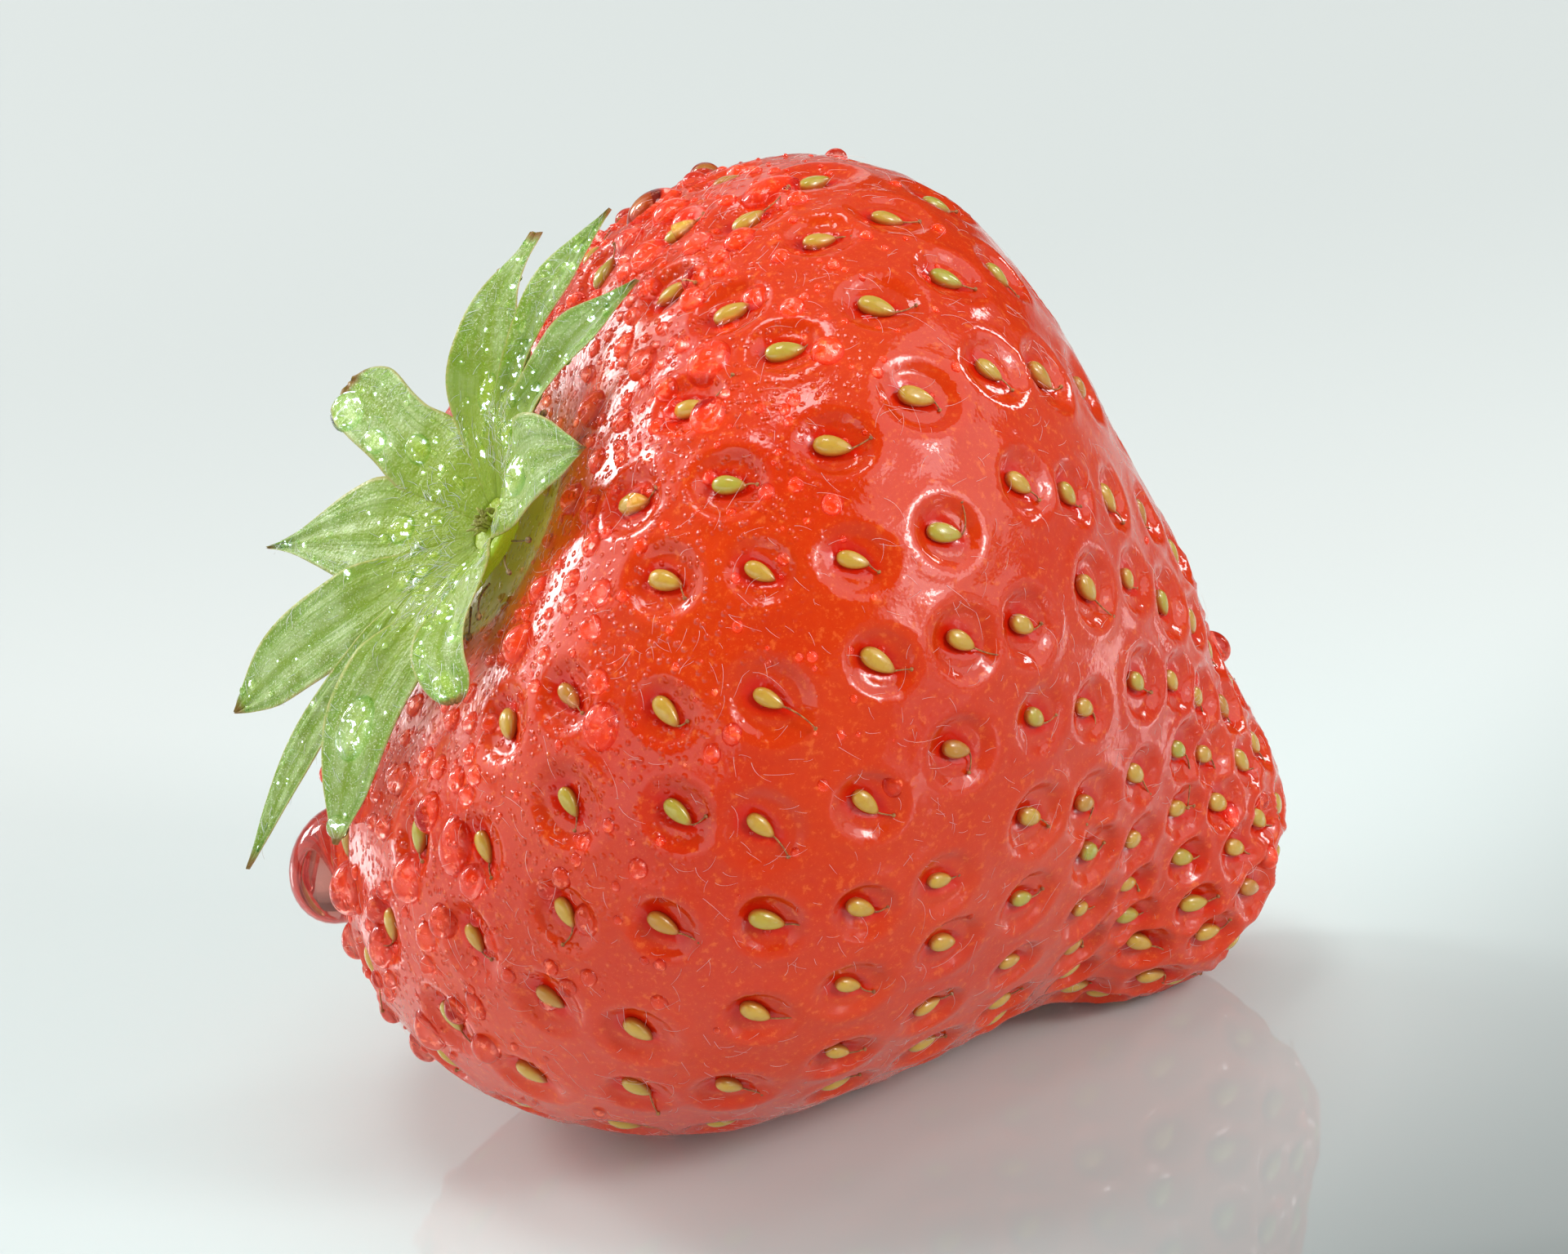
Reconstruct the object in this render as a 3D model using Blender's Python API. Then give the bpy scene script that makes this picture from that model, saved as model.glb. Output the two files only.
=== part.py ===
"""A ripe strawberry lying on its flank, as an assembly of its grown pieces.

Pieces: the fleshy receptacle, the calyx cup with five sepals and five epicalyx bractlets, the scar of
the stalk inside the cup, and a share of the achenes (the seed-like fruits), each in a pit of its own.

Fruit frame: +Z runs along the fruit's axis from the tip to the calyx, +Y is the side that faces up as the
fruit lies, +X is its front. Clock angles are measured about the axis from the upper side towards the front.
World frame: +Z up, the fruit lies on the plane Z = 0, +X towards the tip, -Y towards the front.
Lengths are in millimetres in the tables and in metres in the meshes.
"""
import random
from math import cos, degrees, exp, pi, radians, sin, sqrt

import bmesh
import bpy
from mathutils import Matrix, Vector

MM = 0.001

# ---------------------------------------------------------------- how the fruit lies
AXIS_RISE = 34.0            # degrees that the axis climbs from the tip to the calyx
AXIS_TURN = 15.0            # degrees that the axis is turned in plan towards the front
REST_FLATTENING = 0.25      # mm of flesh pressed flat where the fruit touches the ground

# ---------------------------------------------------------------- receptacle
# (distance from the tip along the axis, radius), from the tip to the middle of the calyx end
UPPER_OUTLINE = [(0.4, 0.0), (0.65, 2.0), (1.6, 3.7), (4.3, 5.8), (7.4, 7.9), (10.6, 10.5), (15.0, 13.9),
                 (19.5, 16.9), (23.6, 18.3), (27.4, 17.5), (30.6, 14.9), (32.8, 11.6), (33.6, 8.6),
                 (33.7, 5.6), (33.5, 2.8), (33.4, 0.0)]
LOWER_OUTLINE = [(0.4, 0.0), (0.6, 2.5), (1.25, 4.6), (4.0, 6.5), (7.6, 8.4), (11.2, 11.5), (15.0, 14.5),
                 (19.0, 17.1), (23.5, 18.3), (27.6, 18.1), (31.2, 16.4), (33.8, 12.8), (34.5, 9.0),
                 (34.2, 5.6), (33.6, 2.8), (33.4, 0.0)]
FRONT_TO_BACK = 0.96        # width across against height
CALYX_END_LIFT = 1.2        # mm that the calyx end is bent to the upper side
LIFT_FROM = 20.0            # mm along the axis where the bend begins
LIFT_TO = 34.0
# soft swellings: clock angle, distance from the tip, angular width, length, height
SWELLINGS = [
    (195.0, 29.0, 50.0, 5.0, 0.7),      # lower shoulder, towards the back
    (250.0, 30.0, 40.0, 5.0, 0.6),      # back shoulder
    (160.0, 3.0, 60.0, 3.5, 0.5),       # heel of the tip
    (20.0, 10.0, 22.0, 2.4, 0.45),      # knuckle on the upper flank
    (120.0, 8.5, 30.0, 3.0, -0.4),      # saddle above the tip
]
SWELLING_FADE_RADIUS = 5.0  # swellings fade out nearer the axis than this
INNER_HEIGHT = 18.0         # a point on the axis that is well inside the flesh
SLOPE_CLOCK = 0.5           # half step in degrees and in t for measuring the slope of the skin
SLOPE_T = 0.002
RECEPTACLE_RINGS = 38
RECEPTACLE_SIDES = 52

# ---------------------------------------------------------------- achenes and their pits
ACHENE_LENGTH = 1.5
ACHENE_WIDTH = 0.95
ACHENE_DEPTH = 0.75
ACHENE_SINK = 0.18          # depth of the achene's middle below the flesh
ACHENE_TAPER = 0.28         # how much the achene narrows to its pointed end
PIT_CLEARANCE = 0.33        # flesh to achene all round
SPACING_AT_TIP = 2.56
SPACING_AT_SHOULDER = 4.19
SPACING_NEAR = 5.3          # mm from the tip where the spacing begins to widen
SPACING_FAR = 18.15
FIRST_ACHENE_AREA = 0.53
LAST_RADIUS = 9.5           # no achenes nearer the axis than this on the calyx end
GOLDEN_ANGLE = 180.0 * (3.0 - sqrt(5.0))
SPIRAL_START = 329.2
CLOCK_SCATTER = 0.139       # sideways scatter, as a share of the spacing
T_SCATTER = 0.0053          # scatter of t along the axis, end to end
PACKING = 0.866             # area that an achene takes, in squares of the spacing
SPIRAL_SEED = 44
ACHENE_STEP = 6             # one achene in this many is a solid of its own
GROUND_CLEARANCE = 0.9      # an achene nearer the ground than this is pressed away
MARCH_STEPS = 900

# ---------------------------------------------------------------- calyx
CUP_SECTION = [(0.0, 34.15), (1.1, 34.2), (2.2, 34.55), (3.1, 35.1), (3.85, 35.6), (4.1, 35.4),
               (3.4, 34.75), (2.5, 34.2), (1.4, 33.85), (0.0, 33.8)]
CUP_SIDES = 40
CUP_LOBE = 0.06             # five soft lobes of the rim, as a share of the radius
CUP_LOBE_TURN = 0.6
SCAR_RADIUS = 0.75
SCAR_HEIGHT = 0.55
SCAR_LIFT = 34.55
SCAR_SIDES = 14
SCAR_LOBE = 0.12
SCAR_HOLLOW = 0.65          # height of the hollow middle, as a share of the scar's height
# (radius, height) as shares of the scar's own, from the foot over the rim into the hollow
SCAR_SECTION = [(0.8, 0.0), (1.0, 0.25), (0.9, 0.8), (0.55, 1.0), (0.35, 0.7)]
LEAF_THICKNESS = 0.34
LEAF_EDGE_THINNING = 0.45   # share of the thickness lost at the edges
LEAF_CUP_START = 0.15       # how cupped a leaf already is at its root
TWIST_RATE = 0.6            # how soon along a leaf its full twist is reached
LEAF_STATIONS = 9
LEAF_RIBS = 4
# name, clock angle, sideways drift at the tip in degrees, [(distance from the axis, distance along it)],
# half widths from the root to the tip, cupping in mm (edges raised above the middle), twist in degrees
LEAVES = [
    ("sepal_1", 329, 2, [(4.5, 35.6), (8.0, 36.1), (11.2, 35.3)], [0.75, 1.2, 1.2, 0.75, 0.32], 0.3, 8),
    ("bractlet_1", 354, 3, [(4.5, 35.5), (8.4, 35.8), (12.2, 34.9)], [0.5, 0.5, 0.8, 0.62, 0.1], 0.3, 0),
    ("bractlet_2", 18, 4, [(4.5, 35.4), (8.0, 35.5), (11.6, 34.7)], [0.55, 0.65, 0.85, 0.6, 0.1], 0.35, 0),
    ("sepal_2", 53, 4, [(4.5, 35.4), (7.0, 35.9), (9.2, 35.2)], [0.8, 1.25, 1.5, 1.0, 0.12], 0.45, -10),
    ("sepal_3", 128, -2, [(4.5, 35.5), (6.8, 36.0), (8.9, 35.4)], [0.75, 1.1, 1.2, 1.0, 0.5], 0.45, -8),
    ("sepal_4", 163, 8, [(4.5, 35.6), (8.6, 36.2), (12.8, 35.3)], [0.75, 1.2, 1.35, 1.1, 0.3], 0.3, -30),
    ("bractlet_3", 190, 2, [(4.5, 35.6), (10.2, 36.4), (16.2, 36)], [0.42, 0.5, 0.55, 0.42, 0.08], 0.12, -10),
    ("sepal_5", 213, 2, [(4.5, 35.7), (9.3, 36.9), (14.0, 37.3)], [0.75, 1.35, 1.45, 1.05, 0.12], 0.3, -5),
    ("bractlet_4", 242, 0, [(4.5, 35.8), (8.4, 37.0), (12.1, 37.9)], [0.9, 1.6, 1.45, 0.7, 0.1], 0.25, 0),
    ("bractlet_5", 278, 0, [(4.5, 35.8), (7.4, 36.9), (10.1, 37.9)], [0.95, 1.45, 1.5, 1.3, 0.8], 0.25, 0),
]

# ---------------------------------------------------------------- colours (linear RGB)
FLESH = (0.62, 0.035, 0.012)
CALYX_GREEN = (0.30, 0.45, 0.12)
CUP_GREEN = (0.36, 0.47, 0.05)
SCAR_BROWN = (0.20, 0.13, 0.05)
ACHENE_GOLD = (0.62, 0.42, 0.09)


def smooth_step(low, high, value):
    """0 below low, 1 above high, with a smooth rise between."""
    x = min(max((value - low) / (high - low), 0.0), 1.0)
    return x * x * (3.0 - 2.0 * x)


def along(points, t, mirrored=True):
    """A point at t = 0..1 on a smooth curve through the given points."""
    last = len(points) - 1
    before = (points[1][0], -points[1][1]) if mirrored else mirror_point(points[0], points[1])
    after = (points[-2][0], -points[-2][1]) if mirrored else mirror_point(points[-1], points[-2])
    path = [before] + list(points) + [after]
    x = min(max(t, 0.0), 1.0) * last
    i = min(int(x), last - 1)
    f = x - i
    result = []
    for a, b, c, d in zip(path[i], path[i + 1], path[i + 2], path[i + 3]):
        straight = (c - a) * f
        bend = (2 * a - 5 * b + 4 * c - d) * f ** 2
        turn = (3 * b - a - 3 * c + d) * f ** 3
        result.append(0.5 * (2 * b + straight + bend + turn))
    return result


def mirror_point(end, inner):
    """The point opposite an inner point about an end point."""
    return tuple(2 * e - i for e, i in zip(end, inner))


def flesh_point(clock, t):
    """A point of the receptacle's skin in the fruit frame, in mm; clock in degrees, t from tip to calyx."""
    angle = radians(clock)
    upper = along(UPPER_OUTLINE, t)
    lower = along(LOWER_OUTLINE, t)
    share = 0.5 + 0.5 * cos(angle)
    height = upper[0] * share + lower[0] * (1 - share)
    radius = upper[1] * share + lower[1] * (1 - share)
    radius *= 1 - (1 - FRONT_TO_BACK) * sin(angle) ** 2
    fade = min(radius / SWELLING_FADE_RADIUS, 1.0)
    swell = 0.0
    for at_clock, at_height, width, length, size in SWELLINGS:
        turn = (clock - at_clock + 180.0) % 360.0 - 180.0
        swell += size * exp(-(turn / width) ** 2 - ((height - at_height) / length) ** 2)
    radius += swell * fade
    lift = CALYX_END_LIFT * smooth_step(LIFT_FROM, LIFT_TO, height)
    return Vector((radius * sin(angle), radius * cos(angle) + lift, height))


def lying_rotation():
    """The rotation that lays the fruit frame down in the world."""
    rise = radians(AXIS_RISE)
    turn = radians(AXIS_TURN)
    axis = Vector((-cos(rise) * cos(turn), -cos(rise) * sin(turn), sin(rise)))
    upper = Vector((sin(rise) * cos(turn), sin(rise) * sin(turn), cos(rise)))
    front = upper.cross(axis)
    return Matrix((front, upper, axis)).transposed()


def resting_height(rotation):
    """How far the fruit frame's origin is above the ground, in mm."""
    lowest = 0.0
    for ring in range(4 * RECEPTACLE_RINGS):
        for side in range(4 * RECEPTACLE_SIDES):
            point = rotation @ flesh_point(90.0 * side / RECEPTACLE_SIDES, 0.25 * ring / RECEPTACLE_RINGS)
            lowest = min(lowest, point.z)
    return -lowest - REST_FLATTENING


ROTATION = lying_rotation()
HEIGHT = resting_height(ROTATION)


def pressed(point):
    """The point moved up to the ground where it would be below it."""
    world = ROTATION @ point
    world.z = max(world.z + HEIGHT, 0.0) - HEIGHT
    return ROTATION.transposed() @ world


def skin_frame(clock, t):
    """Outward normal and the direction towards the tip at a point of the skin."""
    across = flesh_point(clock + SLOPE_CLOCK, t) - flesh_point(clock - SLOPE_CLOCK, t)
    down = flesh_point(clock, t - SLOPE_T) - flesh_point(clock, t + SLOPE_T)
    normal = across.cross(down).normalized()
    if normal.dot(flesh_point(clock, t) - Vector((0.0, 0.0, INNER_HEIGHT))) < 0:
        normal = -normal
    tipward = (down - normal * down.dot(normal)).normalized()
    return normal, tipward


def achene_places():
    """Clock angle and t of every achene, on a golden-angle spiral that tightens towards the tip."""
    draw = random.Random(SPIRAL_SEED)
    places = []
    filled = FIRST_ACHENE_AREA
    before = flesh_point(90.0, 0.0)
    for step in range(1, MARCH_STEPS + 1):
        t = step / MARCH_STEPS
        here = flesh_point(90.0, t)
        radius = 0.5 * (here.x + before.x)
        if here.z > LIFT_FROM and here.x < LAST_RADIUS:
            break
        widen = smooth_step(SPACING_NEAR, SPACING_FAR, here.z)
        spacing = SPACING_AT_TIP + (SPACING_AT_SHOULDER - SPACING_AT_TIP) * widen
        filled += 2 * pi * radius * (here - before).length / (PACKING * spacing ** 2)
        before = here
        while filled >= len(places) + 1:
            scatter = degrees(CLOCK_SCATTER * spacing / max(radius, spacing)) * draw.uniform(-1.0, 1.0)
            clock = (SPIRAL_START + GOLDEN_ANGLE * len(places) + scatter) % 360.0
            places.append((clock, t + draw.uniform(-0.5, 0.5) * T_SCATTER))
    return places


def material(name, colour, roughness):
    """A plain Principled material."""
    made = bpy.data.materials.new(name)
    made.use_nodes = True
    shader = made.node_tree.nodes["Principled BSDF"]
    shader.inputs["Base Color"].default_value = (*colour, 1.0)
    shader.inputs["Roughness"].default_value = roughness
    shader.inputs["Metallic"].default_value = 0.0
    return made


def add_object(name, points, faces, finish, parent):
    """One closed, smooth-shaded object from points in mm in the parent's frame."""
    mesh = bpy.data.meshes.new(name)
    mesh.from_pydata([tuple(p * MM) for p in points], [], faces)
    work = bmesh.new()
    work.from_mesh(mesh)
    bmesh.ops.recalc_face_normals(work, faces=work.faces)
    work.to_mesh(mesh)
    work.free()
    mesh.shade_smooth()
    mesh.materials.append(finish)
    piece = bpy.data.objects.new(name, mesh)
    bpy.context.collection.objects.link(piece)
    piece.parent = parent
    return piece


def ring_solid(rings, start, end):
    """Points and faces of a closed skin over rings of points between two end points."""
    points = [start]
    faces = []
    sides = len(rings[0])
    for ring in rings:
        points.extend(ring)
    points.append(end)
    for side in range(sides):
        after = (side + 1) % sides
        faces.append((0, 1 + after, 1 + side))
        for level in range(len(rings) - 1):
            low = 1 + level * sides
            high = low + sides
            faces.append((low + side, low + after, high + after, high + side))
        top = 1 + (len(rings) - 1) * sides
        faces.append((top + side, top + after, len(points) - 1))
    return points, faces


def add_receptacle(parent):
    """The fleshy body of the fruit, pressed flat where it rests."""
    rings = []
    for level in range(1, RECEPTACLE_RINGS):
        t = level / RECEPTACLE_RINGS
        ring = [pressed(flesh_point(360.0 * side / RECEPTACLE_SIDES, t)) for side in range(RECEPTACLE_SIDES)]
        rings.append(ring)
    points, faces = ring_solid(rings, flesh_point(0.0, 0.0), flesh_point(0.0, 1.0))
    return add_object("receptacle", points, faces, material("flesh", FLESH, 0.25), parent)


def drop_shape(length, width, depth, sides, levels):
    """Points and faces of a seed-shaped solid, blunt at -X and pointed at +X, middle at the origin."""
    rings = []
    for level in range(1, levels):
        angle = pi * level / levels
        x = -0.5 * length * cos(angle)
        taper = 1.0 - ACHENE_TAPER * (x / (0.5 * length))
        ring = []
        for side in range(sides):
            turn = 2 * pi * side / sides
            y = 0.5 * width * taper * sin(angle) * cos(turn)
            z = 0.5 * depth * taper * sin(angle) * sin(turn)
            ring.append(Vector((x, y, z)))
        rings.append(ring)
    return ring_solid(rings, Vector((-0.5 * length, 0, 0)), Vector((0.5 * length, 0, 0)))


def place_on_skin(piece, clock, t, sink):
    """Put a piece on the skin with its long side towards the tip and its depth along the normal."""
    normal, tipward = skin_frame(clock, t)
    side = normal.cross(tipward)
    turn = Matrix((tipward, side, normal)).transposed()
    middle = flesh_point(clock, t) - normal * sink
    place = Matrix.Translation(middle * MM) @ turn.to_4x4()
    piece.matrix_local = place
    return place


def add_achenes(receptacle, parent):
    """A share of the achenes as solids of their own, and the pits that they sit in."""
    finish = material("achene", ACHENE_GOLD, 0.35)
    pits_mesh = bpy.data.meshes.new("pits")
    pits = bmesh.new()
    number = 0
    for index, (clock, t) in enumerate(achene_places()):
        if index % ACHENE_STEP:
            continue
        middle = ROTATION @ flesh_point(clock, t)
        if middle.z + HEIGHT < GROUND_CLEARANCE:
            continue
        number += 1
        points, faces = drop_shape(ACHENE_LENGTH, ACHENE_WIDTH, ACHENE_DEPTH, 8, 6)
        seed = add_object("achene_%02d" % number, points, faces, finish, parent)
        place = place_on_skin(seed, clock, t, ACHENE_SINK)
        room = 2 * PIT_CLEARANCE
        points, faces = drop_shape(ACHENE_LENGTH + room, ACHENE_WIDTH + room, ACHENE_DEPTH + room, 10, 8)
        made = [pits.verts.new(place @ (p * MM)) for p in points]
        for face in faces:
            pits.faces.new([made[i] for i in face])
    bmesh.ops.recalc_face_normals(pits, faces=pits.faces)
    pits.to_mesh(pits_mesh)
    pits.free()
    cutter = bpy.data.objects.new("pit_cutter", pits_mesh)
    bpy.context.collection.objects.link(cutter)
    cutter.parent = parent
    cutter.hide_render = True
    cutter.display_type = "WIRE"
    cut = receptacle.modifiers.new("pits", "BOOLEAN")
    cut.operation = "DIFFERENCE"
    cut.solver = "MANIFOLD"
    cut.object = cutter


def add_cup(parent):
    """The green cup that the sepals and bractlets grow from, a shallow funnel with a lobed rim."""
    rings = []
    for radius, height in CUP_SECTION[1:-1]:
        ring = []
        for side in range(CUP_SIDES):
            angle = 2 * pi * side / CUP_SIDES
            reach = radius * (1 + CUP_LOBE * sin(5 * angle + CUP_LOBE_TURN))
            ring.append(Vector((reach * sin(angle), reach * cos(angle) + CALYX_END_LIFT, height)))
        rings.append(ring)
    top = Vector((0.0, CALYX_END_LIFT, CUP_SECTION[0][1]))
    bottom = Vector((0.0, CALYX_END_LIFT, CUP_SECTION[-1][1]))
    points, faces = ring_solid(rings, top, bottom)
    return add_object("calyx_cup", points, faces, material("cup", CUP_GREEN, 0.4), parent)


def add_scar(parent):
    """The stub left where the stalk broke off, in the bottom of the cup."""
    rings = []
    for radius, lift in SCAR_SECTION:
        ring = []
        for side in range(SCAR_SIDES):
            angle = 2 * pi * side / SCAR_SIDES
            reach = SCAR_RADIUS * radius * (1 + SCAR_LOBE * sin(3 * angle))
            height = SCAR_LIFT + SCAR_HEIGHT * lift
            ring.append(Vector((reach * sin(angle), reach * cos(angle) + CALYX_END_LIFT, height)))
        rings.append(ring)
    bottom = Vector((0.0, CALYX_END_LIFT, SCAR_LIFT))
    top = Vector((0.0, CALYX_END_LIFT, SCAR_LIFT + SCAR_HOLLOW * SCAR_HEIGHT))
    points, faces = ring_solid(rings, bottom, top)
    return add_object("stem_scar", points, faces, material("scar", SCAR_BROWN, 0.8), parent)


def leaf_point(leaf, u, v, side):
    """A point of a leaf's blade: u from root to tip, v from -1 to 1 across, side -1 below or 1 above."""
    name, clock, drift, spine, widths, cupping, twist = leaf
    radius, height = along(spine, u, mirrored=False)
    half = along([(w, 0.0) for w in widths], u, mirrored=False)[0]
    angle = radians(clock + drift * u ** 2)
    turn = radians(twist) * sin(pi * min(TWIST_RATE * u, 0.5))
    outward = Vector((sin(angle), cos(angle), 0.0))
    sideways = Vector((cos(angle), -sin(angle), 0.0))
    along_axis = Vector((0.0, 0.0, 1.0))
    across = sideways * cos(turn) + along_axis * sin(turn)
    upward = along_axis * cos(turn) - sideways * sin(turn)
    middle = outward * radius + Vector((0.0, CALYX_END_LIFT, height))
    raised = cupping * sin(pi * min(u + LEAF_CUP_START, 1.0)) * v ** 2
    thickness = 0.5 * LEAF_THICKNESS * (1.0 - LEAF_EDGE_THINNING * v ** 2)
    return middle + across * (half * v) + upward * (raised + side * thickness)


def add_leaf(leaf, finish, parent):
    """One sepal or bractlet as a thin closed blade."""
    rings = []
    for station in range(LEAF_STATIONS + 1):
        u = station / LEAF_STATIONS
        above = [leaf_point(leaf, u, -1 + 2 * rib / LEAF_RIBS, 1) for rib in range(LEAF_RIBS + 1)]
        below = [leaf_point(leaf, u, 1 - 2 * rib / LEAF_RIBS, -1) for rib in range(LEAF_RIBS + 1)]
        rings.append(above + below)
    root = sum(rings[0], Vector()) / len(rings[0])
    tip = sum(rings[-1], Vector()) / len(rings[-1])
    points, faces = ring_solid(rings, root, tip)
    return add_object(leaf[0], points, faces, finish, parent)


def centre_on_ground(pose):
    """Set the fruit down with the middle of its bounding box over the world's origin."""
    bpy.context.view_layer.update()
    low = Vector((1.0, 1.0, 1.0))
    high = -low
    for piece in bpy.data.objects:
        if piece.type != "MESH" or piece.hide_render:
            continue
        for vertex in piece.data.vertices:
            spot = piece.matrix_world @ vertex.co
            low = Vector(map(min, low, spot))
            high = Vector(map(max, high, spot))
    pose.location.x -= 0.5 * (low.x + high.x)
    pose.location.y -= 0.5 * (low.y + high.y)


def main():
    """Build the strawberry."""
    for old in list(bpy.data.objects):
        bpy.data.objects.remove(old, do_unlink=True)
    pose = bpy.data.objects.new("fruit_pose", None)
    bpy.context.collection.objects.link(pose)
    pose.rotation_mode = "QUATERNION"
    pose.rotation_quaternion = ROTATION.to_quaternion()
    pose.location = (0.0, 0.0, HEIGHT * MM)
    bpy.context.view_layer.update()
    receptacle = add_receptacle(pose)
    add_cup(pose)
    add_scar(pose)
    green = material("calyx", CALYX_GREEN, 0.45)
    for leaf in LEAVES:
        add_leaf(leaf, green, pose)
    add_achenes(receptacle, pose)
    centre_on_ground(pose)


main()
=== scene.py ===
"""Looks of a ripe strawberry, wet with water drops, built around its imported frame.

Fruit frame: +Z runs along the fruit's axis from the tip to the calyx, +Y is the side that faces up as the
fruit lies, +X is its front. Clock angles are measured about the axis from the upper side towards the front.
Tables are in millimetres in the fruit frame; meshes are in metres in the row frame.
"""
import logging
import math
import random
from dataclasses import dataclass
from enum import Enum
from typing import Any, Iterable, NamedTuple, Sequence

import bmesh
import bpy
import numpy as np
from mathutils import Matrix, Vector


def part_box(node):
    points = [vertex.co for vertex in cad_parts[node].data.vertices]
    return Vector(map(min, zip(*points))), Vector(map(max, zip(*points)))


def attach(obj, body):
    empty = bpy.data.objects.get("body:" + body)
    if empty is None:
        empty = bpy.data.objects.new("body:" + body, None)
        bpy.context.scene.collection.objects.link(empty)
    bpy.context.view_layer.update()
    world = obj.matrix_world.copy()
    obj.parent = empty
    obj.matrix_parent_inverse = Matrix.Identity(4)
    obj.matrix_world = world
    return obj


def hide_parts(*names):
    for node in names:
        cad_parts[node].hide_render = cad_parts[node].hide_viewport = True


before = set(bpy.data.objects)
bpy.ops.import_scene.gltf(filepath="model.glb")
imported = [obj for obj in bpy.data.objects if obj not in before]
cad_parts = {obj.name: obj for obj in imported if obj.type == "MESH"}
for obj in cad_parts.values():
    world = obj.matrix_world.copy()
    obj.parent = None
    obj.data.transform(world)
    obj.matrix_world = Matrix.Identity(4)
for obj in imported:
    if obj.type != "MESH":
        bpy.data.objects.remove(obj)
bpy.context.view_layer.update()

MM = 0.001
UP = np.array([0.0, 0.0, 1.0])
BLACK = (0.0, 0.0, 0.0)
LOG = logging.getLogger("strawberry")
Array = np.ndarray
Chance = np.random.Generator
Material = bpy.types.Material
Piece = bpy.types.Object
Socket = bpy.types.NodeSocket
Colour = tuple[float, float, float]
Span = tuple[float, float]
Table = tuple[tuple[float, ...], ...]
Faces = list[tuple[int, ...]]
Solid = tuple[Array, Faces]  # the points and the faces of one closed shape


# ------------------------------------------------------------------------------------------ shader writing
class Value:
    """One number that varies over a surface, as the output socket of a node, with arithmetic."""

    def __init__(self, graph: "Graph", socket: Socket) -> None:
        """Wrap an output socket that holds one number."""
        self.graph = graph
        self.socket = socket

    def __add__(self, other: "Value | float") -> "Value":
        """Sum."""
        return self.graph.math("ADD", self, other)

    __radd__ = __add__

    def __sub__(self, other: "Value | float") -> "Value":
        """Difference."""
        return self.graph.math("SUBTRACT", self, other)

    def __rsub__(self, other: "Value | float") -> "Value":
        """Difference from a plain number."""
        return self.graph.math("SUBTRACT", other, self)

    def __mul__(self, other: "Value | float") -> "Value":
        """Product."""
        return self.graph.math("MULTIPLY", self, other)

    __rmul__ = __mul__

    def step(self, low: float, high: float) -> "Value":
        """A smooth rise from 0 at low to 1 at high, or a fall where low is above high."""
        rise = self.graph.node(
            "ShaderNodeMapRange",
            {"interpolation_type": "SMOOTHSTEP"},
            {"Value": self, "From Min": min(low, high), "From Max": max(low, high)},
        )
        result = Value(self.graph, rise.outputs["Result"])
        return result if low < high else 1.0 - result


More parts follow.
